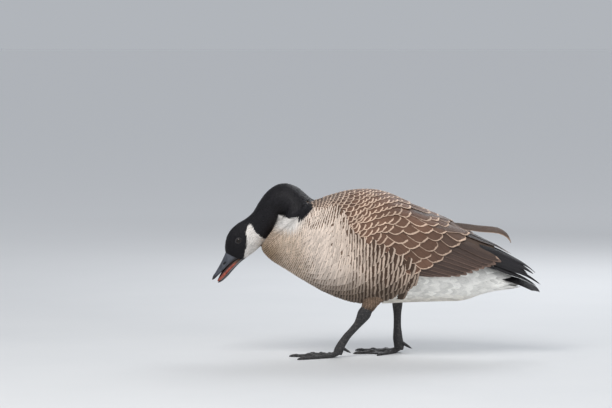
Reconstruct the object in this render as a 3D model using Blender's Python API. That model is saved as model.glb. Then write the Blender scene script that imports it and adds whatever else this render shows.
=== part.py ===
"""A life-size Canada goose, standing with its neck arched, its head low and its bill a little open.

The bird faces -X, its left side is at -Y and the floor is at z = 0. Lengths are in metres. Every section of the
head, neck and torso is drawn between a point of the upper outline and a point of the lower outline.
"""

import math

import bmesh
import bpy
import numpy as np
from mathutils import Matrix, Vector

MM = 0.001
GAP = 0.3 * MM

# Driving sizes
MIDDLE_TOE_LENGTH = 87 * MM
EYE_RADIUS = 6.8 * MM
LEG_SPREAD = 42 * MM

# Colours of the finishes
BLACK_FEATHER = (0.012, 0.011, 0.014)
BUFF_FEATHER = (0.36, 0.27, 0.19)
BROWN_FEATHER = (0.19, 0.11, 0.07)
DARK_FEATHER = (0.02, 0.016, 0.017)
DARK_SKIN = (0.035, 0.03, 0.032)
BILL_HORN = (0.03, 0.034, 0.045)
MOUTH_RED = (0.42, 0.09, 0.05)
EYE_BROWN = (0.02, 0.012, 0.008)

# Sections of the body, in mm: upper outline x and z, lower outline x and z, half-width, and the share of the depth,
# from the top, at which the section is widest.
HEAD_SECTIONS = (
    (-302, 206, -268, 191, 13.5, 0.50),
    (-303, 220, -259.5, 196.5, 18.5, 0.52),
    (-299, 239, -248, 205, 22.5, 0.50),
    (-289.5, 253.5, -238, 213.5, 24, 0.50),
    (-276.5, 264.5, -229, 223, 24, 0.50),
    (-261, 273.5, -220, 232.5, 23.5, 0.50),
)
NECK_SECTIONS = (
    (-246.5, 286.5, -210, 246, 25, 0.50),
    (-235.5, 305.5, -201, 263, 27, 0.50),
    (-222, 324, -196, 277, 29, 0.50),
    (-204, 339, -192, 283, 31.5, 0.50),
    (-184, 344, -187, 282, 34, 0.50),
    (-162, 338, -186, 278, 38, 0.50),
    (-145, 325, -190, 276, 42, 0.52),
)
TORSO_SECTIONS = (
    (-130, 311, -193.5, 273, 46, 0.52),
    (-114, 313, -212, 245, 61, 0.52),
    (-90, 321, -230.5, 218, 74, 0.52),
    (-64, 327, -214, 194, 83, 0.52),
    (-38, 328, -186, 176, 88, 0.52),
    (-10, 324, -146, 151, 90, 0.53),
    (18, 313, -98, 124.5, 90, 0.54),
    (46, 301, -46, 107, 87, 0.55),
    (74, 288, 10, 104.5, 82, 0.56),
    (106, 273, 70, 107, 73, 0.57),
    (142, 251, 126, 108.5, 61, 0.58),
    (178, 222, 174, 110.5, 46, 0.58),
    (210, 195, 210, 123, 32, 0.58),
    (240, 174, 242, 129.5, 21, 0.58),
    (268, 160, 272, 133.5, 12, 0.58),
)
TORSO_TIP = (290, 140)
BODY_FULLNESS = 2.15

# The folded wings lie on a cloak over the back. Its sections, in mm: x, ridge z, z at which it is widest, half-width,
# and how far below that level it would close.
CLOAK_SECTIONS = (
    (-104, 318, 244, 76, 90),
    (-64, 329, 234, 87, 100),
    (-34, 332.5, 228, 94, 105),
    (-4, 331.5, 222, 98, 108),
    (26, 323.5, 217, 99, 108),
    (56, 310, 212, 98, 105),
    (86, 297, 206, 94, 100),
    (116, 284, 200, 88, 92),
    (146, 270, 194, 79, 82),
    (176, 254, 189, 68, 70),
    (206, 237, 186, 55, 56),
    (236, 222, 182, 43, 44),
    (266, 203, 173, 32, 34),
    (296, 184, 160, 23, 26),
    (326, 156, 142, 15, 18),
)
# Lower edge of the folded wing, in mm: x and z. In front it runs along the top of the flank feathers.
WING_LOWER_EDGE = (
    (-74, 300),
    (-50, 268),
    (-28, 244),
    (0, 229),
    (26, 214),
    (50, 195),
    (76, 171),
    (96, 163),
    (126, 162),
    (156, 163),
    (176, 167),
    (196, 174),
    (216, 179),
    (240, 180),
    (266, 169),
    (296, 155),
    (320, 144),
)
WING_FRONT_X = -74 * MM
WING_THICKNESS = 9 * MM
# The wings part over the mantle in front: x in mm, and the distance down from the ridge to the wing's upper edge.
WING_UPPER_EDGE = ((-74, 52), (-40, 44), (0, 26), (40, 8), (70, 1.2), (330, 1.2))


def clear_scene():
    for obj in list(bpy.data.objects):
        bpy.data.objects.remove(obj, do_unlink=True)


def finish(name, colour, roughness):
    """A plain finish in the part's colour."""
    material = bpy.data.materials.new(name)
    material.use_nodes = True
    shader = material.node_tree.nodes["Principled BSDF"]
    shader.inputs["Base Color"].default_value = (*colour, 1)
    shader.inputs["Roughness"].default_value = roughness
    shader.inputs["Metallic"].default_value = 0
    return material


def object_of(name, bm, material=None):
    """A scene object from a bmesh, shaded smooth with its sharp edges kept."""
    bmesh.ops.recalc_face_normals(bm, faces=bm.faces)
    mesh = bpy.data.meshes.new(name)
    bm.to_mesh(mesh)
    bm.free()
    if material:
        mesh.materials.append(material)
    mesh.shade_smooth()
    mesh.set_sharp_from_angle(angle=math.radians(40))
    obj = bpy.data.objects.new(name, mesh)
    bpy.context.scene.collection.objects.link(obj)
    return obj


def smooth_rows(rows, steps):
    """The rows joined by a smooth curve through each, with this many steps from one row to the next."""
    points = np.array(rows, float)
    padded = np.vstack([2 * points[0] - points[1], points, 2 * points[-1] - points[-2]])
    found = []
    for i in range(1, len(padded) - 2):
        a, b, c, d = padded[i - 1 : i + 3]
        for t in np.arange(steps) / steps:
            found.append(
                0.5 * (2 * b + (c - a) * t + (2 * a - 5 * b + 4 * c - d) * t**2 + (3 * b - a - 3 * c + d) * t**3)
            )
    found.append(points[-1])
    return found


def section_ring(top, bottom, half_width, widest, fullness, count):
    """Points round one section, which lies in the plane of the line from top to bottom and the Y axis."""
    down = bottom - top
    ring = []
    for i in range(count):
        angle = math.tau * i / count
        c, s = math.cos(angle), math.sin(angle)
        bulge = abs(c) ** (2 / fullness)
        share = widest * (1 - bulge) if c > 0 else widest + (1 - widest) * bulge
        side = -math.copysign(abs(s) ** (2 / fullness), s) * half_width
        ring.append(top + down * share + Vector((0, side, 0)))
    return ring


def body_rings(rows, steps, count, fullness=BODY_FULLNESS):
    """Section rings, in metres, along a table of body sections."""
    rings = []
    for x1, z1, x2, z2, half_width, widest in smooth_rows(rows, steps):
        top, bottom = Vector((x1, 0, z1)) * MM, Vector((x2, 0, z2)) * MM
        rings.append(section_ring(top, bottom, half_width * MM, widest, fullness, count))
    return rings


def centre_of(ring):
    return sum(ring, Vector()) / len(ring)


def set_back(rings, at_start):
    """Moves the first or last ring inwards along the body by the gap that touching pieces keep."""
    index, inner = (0, 1) if at_start else (-1, -2)
    ring = rings[index]
    quarter = len(ring) // 4
    normal = (ring[0] - ring[2 * quarter]).cross(ring[quarter] - ring[3 * quarter]).normalized()
    if normal.dot(centre_of(rings[inner]) - centre_of(ring)) < 0:
        normal.negate()
    rings[index] = [p + normal * GAP / 2 for p in ring]


def loft_mesh(rings, tip=None):
    """A closed bmesh through rings of equal count, with flat ends, or a point at the far end."""
    bm = bmesh.new()
    loops = [[bm.verts.new(p) for p in ring] for ring in rings]
    count = len(rings[0])
    for near, far in zip(loops, loops[1:]):
        for i in range(count):
            j = (i + 1) % count
            bm.faces.new((near[i], near[j], far[j], far[i]))
    bm.faces.new(loops[0])
    if tip is None:
        bm.faces.new(loops[-1])
    else:
        point = bm.verts.new(tip)
        for i in range(count):
            bm.faces.new((loops[-1][i], loops[-1][(i + 1) % count], point))
    return bm


def sheet_mesh(upper, lower):
    """A closed bmesh between two grids of points of the same size."""
    bm = bmesh.new()
    grids = [[[bm.verts.new(p) for p in row] for row in grid] for grid in (upper, lower)]
    rows, columns = len(upper), len(upper[0])
    for top, grid in enumerate(grids):
        for i in range(rows - 1):
            for j in range(columns - 1):
                a, b, c, d = grid[i][j], grid[i][j + 1], grid[i + 1][j + 1], grid[i + 1][j]
                bm.faces.new((a, b, c) if top == 0 else (c, b, a))
                bm.faces.new((a, c, d) if top == 0 else (d, c, a))
    rim = [(0, j) for j in range(columns)]
    rim += [(i, columns - 1) for i in range(1, rows)]
    rim += [(rows - 1, j) for j in range(columns - 2, -1, -1)]
    rim += [(i, 0) for i in range(rows - 2, 0, -1)]
    for (i, j), (k, m) in zip(rim, rim[1:] + rim[:1]):
        bm.faces.new((grids[0][i][j], grids[0][k][m], grids[1][k][m], grids[1][i][j]))
    return bm


def ball_mesh(centre, radius, segments, rings, stretch=(1, 1, 1)):
    bm = bmesh.new()
    bmesh.ops.create_uvsphere(bm, u_segments=segments, v_segments=rings, radius=radius)
    bmesh.ops.scale(bm, vec=stretch, verts=bm.verts)
    bmesh.ops.translate(bm, vec=centre, verts=bm.verts)
    return bm


def grown(obj, by=GAP):
    """A copy of a piece that is larger by this much on every side, for use as a cutter."""
    bm = bmesh.new()
    bm.from_mesh(obj.data)
    bm.normal_update()
    moved = [(v, v.normal * v.calc_shell_factor() * by) for v in bm.verts]
    for vert, step in moved:
        vert.co += step
    return object_of(obj.name + "_cutter", bm)


def keep_largest(mesh):
    """Drops every loose surface but the largest, so that the node is one closed body."""
    bm = bmesh.new()
    bm.from_mesh(mesh)
    left, islands = set(bm.verts), []
    while left:
        front, island = [left.pop()], []
        while front:
            vert = front.pop()
            island.append(vert)
            near = {e.other_vert(vert) for e in vert.link_edges} & left
            left -= near
            front.extend(near)
        islands.append(island)
    islands.sort(key=len)
    for island in islands[:-1]:
        bmesh.ops.delete(bm, geom=island, context="VERTS")
    bm.to_mesh(mesh)
    bm.free()


def boolean(obj, others, operation, solver="EXACT"):
    """Applies one Boolean of obj with the other objects, and removes them."""
    group = bpy.data.collections.new(obj.name + "_" + operation.lower())
    bpy.context.scene.collection.children.link(group)
    for other in others:
        bpy.context.scene.collection.objects.unlink(other)
        group.objects.link(other)
    modifier = obj.modifiers.new("Boolean", "BOOLEAN")
    modifier.operand_type = "COLLECTION"
    modifier.collection = group
    modifier.operation = operation
    modifier.solver = solver
    graph = bpy.context.evaluated_depsgraph_get()
    mesh = bpy.data.meshes.new_from_object(obj.evaluated_get(graph))
    obj.modifiers.clear()
    obj.data = mesh
    for other in others:
        bpy.data.objects.remove(other, do_unlink=True)
    bpy.data.collections.remove(group)
    keep_largest(mesh)
    return obj


def cut(obj, cutters):
    return boolean(obj, cutters, "DIFFERENCE")


def join(obj, pieces):
    return boolean(obj, pieces, "UNION")


# The head, with a socket and lids for each eye

EYE_CENTRE = Vector((-275, 18.3, 231.5)) * MM
LID_RADIUS = 6.6 * MM
LID_THICKNESS = 1.5 * MM


def mirrored(vector, side):
    """side is -1 for the bird's left and 1 for its right."""
    return Vector((vector.x, side * vector.y, vector.z))


LID_FORWARD = Vector((-0.62, 0, -0.78))
LID_UP = Vector((-0.78, 0, 0.62))
LID_STRETCH = 1.12
LID_SQUEEZE = 0.86
LID_OUT = 3.6 * MM
LID_STEPS = 14
LID_SIDES = 6


def lids(side):
    """The ring of the lids: an oval roll round the eye, longer than it is high."""
    steps, across = LID_STEPS, LID_SIDES
    out = Vector((0, side, 0))
    rings = []
    for i in range(steps):
        angle = math.tau * i / steps
        spoke = LID_FORWARD * math.cos(angle) * LID_STRETCH + LID_UP * math.sin(angle) * LID_SQUEEZE
        middle = mirrored(EYE_CENTRE, side) + spoke * LID_RADIUS + out * LID_OUT
        rings.append(
            [
                middle
                + spoke * math.cos(math.tau * k / across) * LID_THICKNESS
                + out * math.sin(math.tau * k / across) * LID_THICKNESS
                for k in range(across)
            ]
        )
    bm = bmesh.new()
    loops = [[bm.verts.new(p) for p in ring] for ring in rings]
    for near, far in zip(loops, loops[1:] + loops[:1]):
        for k in range(across):
            m = (k + 1) % across
            bm.faces.new((near[k], near[m], far[m], far[k]))
    return object_of("lids", bm)


def make_head(material, torso):
    rings = body_rings(HEAD_SECTIONS, 3, 22, 2.0)
    set_back(rings, True)
    set_back(rings, False)
    head = object_of("head", loft_mesh(rings), material)
    join(head, [lids(side) for side in (-1, 1)])
    sockets = []
    for side in (-1, 1):
        socket = ball_mesh(mirrored(EYE_CENTRE, side), EYE_RADIUS + GAP, 16, 10)
        sockets.append(object_of("socket", socket))
    return cut(head, [*sockets, grown(torso)])


def make_eyes(material):
    for side, name in ((-1, "eye_left"), (1, "eye_right")):
        object_of(name, ball_mesh(mirrored(EYE_CENTRE, side), EYE_RADIUS, 14, 9), material)


# The bill, open, with the tongue between its halves. Sections in mm: upper edge x and z, lower edge x and z,
# half-width, and the share of the depth at which it is widest.

UPPER_BILL_SECTIONS = (
    (-302, 206, -274, 193.5, 12.8, 0.70),
    (-306, 197, -285.5, 187.5, 12.4, 0.78),
    (-311, 186.5, -298, 178.5, 11.2, 0.84),
    (-317, 175.5, -309, 168, 10.2, 0.86),
    (-323.5, 164.5, -318, 159, 9.6, 0.80),
    (-327.5, 157, -324, 152.5, 7.2, 0.70),
)
UPPER_BILL_TIP = (-328.5, 150.5)
LOWER_BILL_SECTIONS = (
    (-272, 192.5, -268, 190, 10.5, 0.30),
    (-280.5, 185, -277, 182, 10.2, 0.30),
    (-291, 174, -287.5, 170.5, 9.2, 0.28),
    (-301.3, 162, -298, 158.5, 8, 0.28),
    (-311, 152.5, -308, 149.5, 6.6, 0.30),
)
LOWER_BILL_TIP = (-317.5, 145)
TONGUE_SECTIONS = (
    (-289, 183, -286.8, 181, 4, 0.5),
    (-295.2, 178, -291.8, 175, 5.2, 0.5),
    (-305.8, 166.2, -302.2, 163, 5, 0.5),
    (-314, 156.4, -311.8, 153.6, 4, 0.5),
)
TONGUE_TIP = (-318, 150)
NOSTRIL_CENTRE = Vector((-302, 0, 186.5)) * MM
NOSTRIL_LENGTH = 8.5 * MM
NOSTRIL_HEIGHT = 3.2 * MM
NOSTRIL_SLOPE = 56


def make_upper_bill(material):
    rings = body_rings(UPPER_BILL_SECTIONS, 2, 16, 2.3)
    set_back(rings, True)
    tip = Vector((UPPER_BILL_TIP[0], 0, UPPER_BILL_TIP[1])) * MM
    bill = object_of("bill_upper", loft_mesh(rings, tip), material)
    slot = bmesh.new()
    bmesh.ops.create_cone(slot, cap_ends=True, segments=10, radius1=0.5, radius2=0.5, depth=1)
    bmesh.ops.rotate(slot, verts=slot.verts, matrix=Matrix.Rotation(math.pi / 2, 3, "X"))
    bmesh.ops.scale(slot, vec=(NOSTRIL_LENGTH, 40 * MM, NOSTRIL_HEIGHT), verts=slot.verts)
    bmesh.ops.rotate(slot, verts=slot.verts, matrix=Matrix.Rotation(math.radians(-NOSTRIL_SLOPE), 3, "Y"))
    bmesh.ops.translate(slot, verts=slot.verts, vec=NOSTRIL_CENTRE)
    return cut(bill, [object_of("nostril", slot)])


def make_lower_bill(material):
    rings = body_rings(LOWER_BILL_SECTIONS, 2, 14, 2.3)
    tip = Vector((LOWER_BILL_TIP[0], 0, LOWER_BILL_TIP[1])) * MM
    return object_of("bill_lower", loft_mesh(rings, tip), material)


def make_tongue(material):
    rings = body_rings(TONGUE_SECTIONS, 2, 10, 2.0)
    tip = Vector((TONGUE_TIP[0], 0, TONGUE_TIP[1])) * MM
    return object_of("tongue", loft_mesh(rings, tip), material)


# Neck and torso

def make_neck(material, torso):
    rings = body_rings((HEAD_SECTIONS[-1], *NECK_SECTIONS, TORSO_SECTIONS[0]), 2, 26, 2.05)
    set_back(rings, True)
    set_back(rings, False)
    return cut(object_of("neck", loft_mesh(rings), material), [grown(torso)])


def make_torso(material):
    rings = body_rings(TORSO_SECTIONS, 2, 28)
    set_back(rings, True)
    tip = Vector((TORSO_TIP[0], 0, TORSO_TIP[1])) * MM
    return object_of("torso", loft_mesh(rings, tip), material)


# The folded wings

class Cloak:
    """The surface that the folded wings lie on, unrolled: x runs back and s runs down from the ridge, in metres."""

    ACROSS = 64
    LOWEST_ANGLE = math.radians(140)

    def __init__(self):
        rows = np.array(smooth_rows(CLOAK_SECTIONS, 6)) * MM
        self.xs = rows[:, 0]
        angles = np.linspace(0, self.LOWEST_ANGLE, self.ACROSS)
        c, s = np.cos(angles), np.sin(angles)
        power = 2 / BODY_FULLNESS
        bulge = np.abs(c) ** power
        self.tables = []
        for x, ridge, widest, half_width, depth in rows:
            y = half_width * np.abs(s) ** power
            z = widest + np.where(c > 0, (ridge - widest) * bulge, -depth * bulge)
            arc = np.concatenate([[0], np.cumsum(np.hypot(np.diff(y), np.diff(z)))])
            self.tables.append((arc, y, z))

    def row(self, x):
        place = np.clip(np.interp(x, self.xs, np.arange(len(self.xs))), 0, len(self.xs) - 1.001)
        return int(place), place - int(place)

    def flat_point(self, x, s):
        """(y, z) of the point at x, a distance s down from the ridge."""
        index, share = self.row(x)
        near, far = self.tables[index], self.tables[index + 1]
        a = [np.interp(s, near[0], near[k]) for k in (1, 2)]
        b = [np.interp(s, far[0], far[k]) for k in (1, 2)]
        return a[0] + (b[0] - a[0]) * share, a[1] + (b[1] - a[1]) * share

    def point(self, x, s, lift=0.0):
        """The point over (x, s), raised off the surface by lift, on the right side of the bird."""
        y, z = self.flat_point(x, s)
        here = Vector((x, y, z))
        if not lift:
            return here
        step = 2 * MM
        along = Vector((x + step, *self.flat_point(x + step, s))) - here
        down = Vector((x, *self.flat_point(x, s + step))) - here
        return here + down.cross(along).normalized() * -lift

    def down_to(self, x, z):
        """The distance down from the ridge at which the surface has this height."""
        index, share = self.row(x)
        near, far = self.tables[index], self.tables[index + 1]
        heights = near[2] + (far[2] - near[2]) * share
        arcs = near[0] + (far[0] - near[0]) * share
        return float(np.interp(-z, -heights, arcs))


# Feathers. A vane is laid on a surface by its root, heading and length in the surface's own unrolled lengths; its
# outline is given as shares of its length and of its half-width.

VANE_OUTLINE = ((0.0, 0.55), (0.4, 0.95), (0.78, 1.0), (0.94, 0.68), (1.0, 0.25))
VANE_CAMBER = 0.05
LEAST_ACROSS = 1.3 * MM


def ring_loft(rings):
    """A closed bmesh through vane rings: three points along the top face, then three back along the lower face.

    Both faces are split along the same diagonals.
    """
    bm = bmesh.new()
    loops = [[bm.verts.new(p) for p in ring] for ring in rings]
    for near, far in zip(loops, loops[1:]):
        for i, j in ((0, 1), (1, 2)):
            bm.faces.new((near[i], near[j], far[j]))
            bm.faces.new((near[i], far[j], far[i]))
            k, m = 5 - i, 5 - j
            bm.faces.new((near[m], near[k], far[m]))
            bm.faces.new((near[k], far[k], far[m]))
        bm.faces.new((near[2], near[3], far[3], far[2]))
        bm.faces.new((near[5], near[0], far[0], far[5]))
    for loop in (loops[0], loops[-1]):
        bm.faces.new((loop[0], loop[1], loop[4], loop[5]))
        bm.faces.new((loop[1], loop[2], loop[3], loop[4]))
    bmesh.ops.recalc_face_normals(bm, faces=bm.faces)
    return bm


def laid_vane(surface, side, root, heading, length, width, lifts, thickness, bend=0.0):
    """A vane on a surface. Heading is in degrees from straight back towards the outside, and changes by bend."""
    along, across = root
    rings = []
    walked = 0.0
    for share, half in VANE_OUTLINE:
        angle = math.radians(heading + bend * share)
        step = (share - walked) * length
        walked = share
        along += step * math.cos(angle)
        across += step * math.sin(angle)
        lift = float(np.interp(share, (0, 0.5, 1), lifts))
        reach = half * width / 2
        ring = []
        for depth, order in ((0, (-1, 0, 1)), (thickness, (1, 0, -1))):
            for edge in order:
                place = (along - edge * reach * math.sin(angle), across + edge * reach * math.cos(angle))
                camber = VANE_CAMBER * reach * edge**2
                point = surface.point(place[0], max(place[1], LEAST_ACROSS), lift - camber - depth)
                ring.append(mirrored(point, side))
        rings.append(ring)
    return object_of("vane", ring_loft(rings))


def free_vane(line, spread, width, thickness):
    """A vane along its own line in the air; spread is the direction of its width."""
    spread = spread.normalized()
    points = [Vector(p) for p in line]
    rings = []
    for i, (share, half) in enumerate(VANE_OUTLINE):
        place = share * (len(points) - 1)
        index = min(int(place), len(points) - 2)
        here = points[index].lerp(points[index + 1], place - index)
        ahead = (points[index + 1] - points[index]).normalized()
        up = spread.cross(ahead).normalized()
        if up.z < 0:
            up.negate()
        reach = half * width / 2
        ring = [here + spread * edge * reach + up * thickness / 2 for edge in (-1, 0, 1)]
        ring += [here + spread * edge * reach - up * thickness / 2 for edge in (1, 0, -1)]
        rings.append(ring)
    return object_of("vane", ring_loft(rings))


# Tiers of the folded wing. Each is a row of vanes whose tips stand on a line: x in mm and share of the way from the
# wing's upper edge to its lower edge, for the first and the last vane; then count, length of the first and of the
# last, width, heading in degrees below the wing's own flow, and lift of root, middle and tip in mm.
WING_TIERS = {
    "primaries": ((312, 0.10), (318, 0.88), 5, (92, 92), 12, 0, (-3.4, -1.4, -1.0)),
    "secondaries": ((240, 0.50), (184, 0.925), 7, (104, 70), 15, -3, (-1.6, 0.1, 0.9)),
    "tertials": ((262, 0.16), (196, 0.50), 3, (104, 90), 21, 0, (-1.2, 1.0, 1.8)),
    "greater coverts": ((168, 0.52), (112, 0.93), 5, (58, 44), 19, 4, (-1.4, 1.0, 1.9)),
    "median coverts": ((134, 0.42), (66, 0.88), 5, (50, 42), 19, 6, (-1.4, 1.2, 2.2)),
    "rear scapulars": ((150, 0.13), (112, 0.30), 3, (62, 56), 22, 2, (-1.2, 1.6, 2.6)),
    "front scapulars": ((86, 0.16), (36, 0.78), 5, (50, 44), 21, 8, (-1.4, 1.2, 2.4)),
}
FREE_THICKNESS = 1.6 * MM
LAID_THICKNESS = 2.6 * MM
SHELL_END_X = 266 * MM
# The innermost tertial of the left wing has lifted and curls up off the back: x, y and z in mm.
CURLED_TERTIAL = (
    (150, -13, 264),
    (176, -13, 257),
    (202, -14, 252),
    (226, -15, 250),
    (246, -16, 246),
    (258, -17, 241),
    (267, -18, 231),
)


class Wing:
    """One folded wing: a shell on the cloak that carries tiers of vanes."""

    def __init__(self, cloak, side):
        self.cloak = cloak
        self.side = side
        self.upper = np.array(WING_UPPER_EDGE).T * MM
        self.lower = np.array(smooth_rows(WING_LOWER_EDGE, 4)).T * MM

    def across(self, x, share):
        """Distance down the cloak, for a share of the way from the wing's upper edge to its lower edge."""
        top = np.interp(x, *self.upper)
        bottom = max(self.cloak.down_to(x, np.interp(x, *self.lower)), top + 4 * MM)
        return top + (bottom - top) * share

    def shell(self):
        """The wing as one smooth form, from the shoulder out to where the flight feathers leave it."""
        outside, inside = [], []
        for x in np.linspace(WING_FRONT_X, SHELL_END_X, 17):
            rows = [], []
            for share in np.linspace(0, 1, 9):
                s = self.across(x, share)
                bevel = 0.6 * WING_THICKNESS * max(0, 2 * share - 1) ** 6
                rows[0].append(mirrored(self.cloak.point(x, s, -bevel), self.side))
                rows[1].append(mirrored(self.cloak.point(x, s, -WING_THICKNESS), self.side))
            outside.append(rows[0])
            inside.append(rows[1])
        return object_of("wing_left" if self.side < 0 else "wing_right", sheet_mesh(outside, inside))

    def vane(self, tip_x, share, length, width, turn, lifts, thickness):
        """A vane by the place of its tip; its heading follows the flow of the wing, plus a turn."""
        back = 0.5 * length
        flow = self.across(tip_x, share) - self.across(tip_x - back, share)
        heading = math.degrees(math.atan2(flow, back)) + turn
        angle = math.radians(heading)
        root = (tip_x - length * math.cos(angle), self.across(tip_x, share) - length * math.sin(angle))
        return laid_vane(self.cloak, self.side, root, heading, length, width, lifts, thickness)

    def tier(self, name):
        (first_x, first_share), (last_x, last_share), count, lengths, width, turn, lifts = WING_TIERS[name]
        free = name == "primaries"
        vanes = []
        for k in range(count):
            t = k / (count - 1)
            layer = -1.0 * k if free else 0.25 * (k % 2)
            raised = [(lift + layer) * MM for lift in lifts]
            vanes.append(
                self.vane(
                    (first_x + (last_x - first_x) * t) * MM,
                    first_share + (last_share - first_share) * t,
                    (lengths[0] + (lengths[1] - lengths[0]) * t) * MM,
                    width * MM,
                    turn,
                    raised,
                    FREE_THICKNESS if free else LAID_THICKNESS,
                )
            )
        return vanes


def make_wings(material, torso):
    cloak = Cloak()
    for side in (-1, 1):
        wing = Wing(cloak, side)
        obj = wing.shell()
        obj.data.materials.append(material)
        vanes = [vane for name in WING_TIERS for vane in wing.tier(name)]
        if side < 0:
            line = [Vector(p) * MM for p in CURLED_TERTIAL]
            vanes.append(free_vane(line, Vector((0.0, -0.6, -0.8)), 17 * MM, 1.2 * MM))
        join(obj, vanes)
        cut(obj, [grown(torso)])


# The tail

TAIL_ROOT = Vector((236, 0, 167)) * MM
TAIL_SLOPE = math.radians(18)
TAIL_LENGTH = 94 * MM
TAIL_DROOP = 10 * MM
TAIL_DROOP_AT = 32 * MM
TAIL_FAN = math.radians(11)
TAIL_FEATHERS_EACH_SIDE = 5
TAIL_FEATHER_WIDTH = 14 * MM
TAIL_CORE_LENGTH = 52 * MM


class TailSurface:
    """The closed tail's tent-like face: distance back along the tail and distance out from its middle."""

    def point(self, back, out, lift=0.0):
        droop = TAIL_DROOP * (abs(out) / TAIL_DROOP_AT) ** 1.6
        line = Vector((math.cos(TAIL_SLOPE), 0, -math.sin(TAIL_SLOPE)))
        up = Vector((math.sin(TAIL_SLOPE), 0, math.cos(TAIL_SLOPE)))
        return TAIL_ROOT + line * back + up * (lift - droop) + Vector((0, out, 0))


def make_tail(material, torso):
    """Tail feathers in a narrow fan, the middle one on top, round a short core."""
    surface = TailSurface()
    upper, lower = [], []
    for back in np.linspace(0, TAIL_CORE_LENGTH, 4):
        half = 14 * MM + 0.16 * back
        row = np.linspace(-1, 1, 9)
        thin = 1 - 0.6 * back / TAIL_CORE_LENGTH
        upper.append([surface.point(back, a * half, 0.4 * MM * thin) for a in row])
        lower.append([surface.point(back, a * half, -5.4 * MM * thin) for a in row])
    tail = object_of("tail", sheet_mesh(upper, lower), material)
    vanes = []
    for k in range(-TAIL_FEATHERS_EACH_SIDE, TAIL_FEATHERS_EACH_SIDE + 1):
        share = k / TAIL_FEATHERS_EACH_SIDE
        side = -1 if k < 0 else 1
        layer = (1.0 - 1.05 * abs(k)) * MM
        length = TAIL_LENGTH * (1 - 0.09 * share**2)
        root = (4 * MM, abs(share) * 10 * MM)
        heading = math.degrees(TAIL_FAN) * abs(share)
        lifts = (layer - 0.5 * MM, layer, layer)
        vanes.append(tail_vane(surface, side, root, heading, length, lifts))
    join(tail, vanes)
    return cut(tail, [grown(torso)])


def tail_vane(surface, side, root, heading, length, lifts):
    """One tail feather; it may reach over the middle line."""
    rings = []
    angle = math.radians(heading)
    for share, half in VANE_OUTLINE:
        lift = float(np.interp(share, (0, 0.5, 1), lifts))
        reach = half * TAIL_FEATHER_WIDTH / 2
        ring = []
        for depth, order in ((0, (-1, 0, 1)), (FREE_THICKNESS, (1, 0, -1))):
            for edge in order:
                back = root[0] + share * length * math.cos(angle) - edge * reach * math.sin(angle)
                out = root[1] + share * length * math.sin(angle) + edge * reach * math.cos(angle)
                camber = VANE_CAMBER * reach * edge**2
                ring.append(mirrored(surface.point(back, out, lift - camber - depth), side))
        rings.append(ring)
    return object_of("vane", ring_loft(rings))


# Legs and feet. Leg sections in mm: x, z and half-depth fore and aft, from the top down.

LEFT_THIGH_SECTIONS = ((-6, 130, 25), (-11.5, 116, 19.5), (-16.5, 104, 15), (-20.5, 94, 12.2))
RIGHT_THIGH_SECTIONS = ((46, 138, 24), (44, 122, 19), (42.5, 110, 14), (42.5, 103, 11.5))
LEFT_LEG_SECTIONS = (
    (-22, 94, 12.5),
    (-26.5, 86, 13.6),
    (-33, 75, 10.6),
    (-40, 65, 8),
    (-50.5, 53, 7.2),
    (-59.5, 43, 7.4),
    (-66.5, 33, 8),
    (-71, 26, 8.4),
)
LEFT_ANKLE_SECTIONS = ((-71, 26, 8.4), (-75, 18, 9.2), (-77.5, 11, 9.6), (-78.5, 5, 9))
RIGHT_LEG_SECTIONS = (
    (42.5, 103, 11),
    (42.5, 92, 9.8),
    (42.5, 80, 8.2),
    (42.5, 66, 7.7),
    (42.5, 52, 7.9),
    (43, 40, 9),
    (43.5, 29, 10),
)
RIGHT_ANKLE_SECTIONS = ((43.5, 29, 10), (45, 20, 10.2), (46, 11, 10), (45.5, 5, 9.4))
LEG_FLATTENING = 0.68
LEG_SIDES = 12


def leg_rings(sections, y, steps):
    """Rings square to the leg's own line, oval in section."""
    rows = [np.array(row) * MM for row in smooth_rows(sections, steps)]
    rings = []
    for i, (x, z, half) in enumerate(rows):
        before, after = rows[max(i - 1, 0)], rows[min(i + 1, len(rows) - 1)]
        line = Vector((after[0] - before[0], 0, after[1] - before[1])).normalized()
        fore = line.cross(Vector((0, 1, 0)))
        rings.append(
            [
                Vector((x, y, z))
                + fore * half * math.cos(math.tau * k / LEG_SIDES)
                + Vector((0, 1, 0)) * half * LEG_FLATTENING * math.sin(math.tau * k / LEG_SIDES)
                for k in range(LEG_SIDES)
            ]
        )
    return rings


def make_thigh(name, sections, side, material, torso, leg):
    rings = leg_rings(sections, side * LEG_SPREAD, 2)
    thigh = object_of(name, loft_mesh(rings), material)
    return cut(thigh, [grown(torso), grown(leg)])


def make_leg(name, sections, side, material, torso):
    rings = leg_rings(sections, side * LEG_SPREAD, 2)
    leg = object_of(name, loft_mesh(rings), material)
    return cut(leg, [grown(torso)])


# Toes: heading from the foot's own, in degrees towards the outer side, length as a share of the middle toe,
# root radius and tip radius in mm.
TOES = {
    "inner": (-37, 0.76, 5.2, 3.4),
    "middle": (-2, 1.0, 5.8, 3.5),
    "outer": (32, 0.93, 5.4, 3.4),
}
TOE_STEPS = 9
TOE_SIDES = 8
TOE_SINK = 0.9 * MM
WEB_THICKNESS = 1.5 * MM
HALLUX_RADIUS = 3.4 * MM
CLAW_LENGTH = 11 * MM


# The toes rise to the joint over their first third; the knuckles swell by this much
TOE_RISE = 4.5 * MM
TOE_RISE_LENGTH = 1 / 3.2
KNUCKLE = 0.45
# Claws: radii in mm at the root and how much of it is lost towards the tip, height at the root and its fall
CLAW_RADIUS, CLAW_TAPER = 2.7, 2.0
CLAW_HEIGHT, CLAW_FALL = 2.9, 1.7
CLAW_SHARES = (0, 0.35, 0.7, 0.92)
CLAW_SIDES = 6
CLAW_TIP_HEIGHT = 0.9 * MM
CLAW_NARROWING = 0.8
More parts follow.
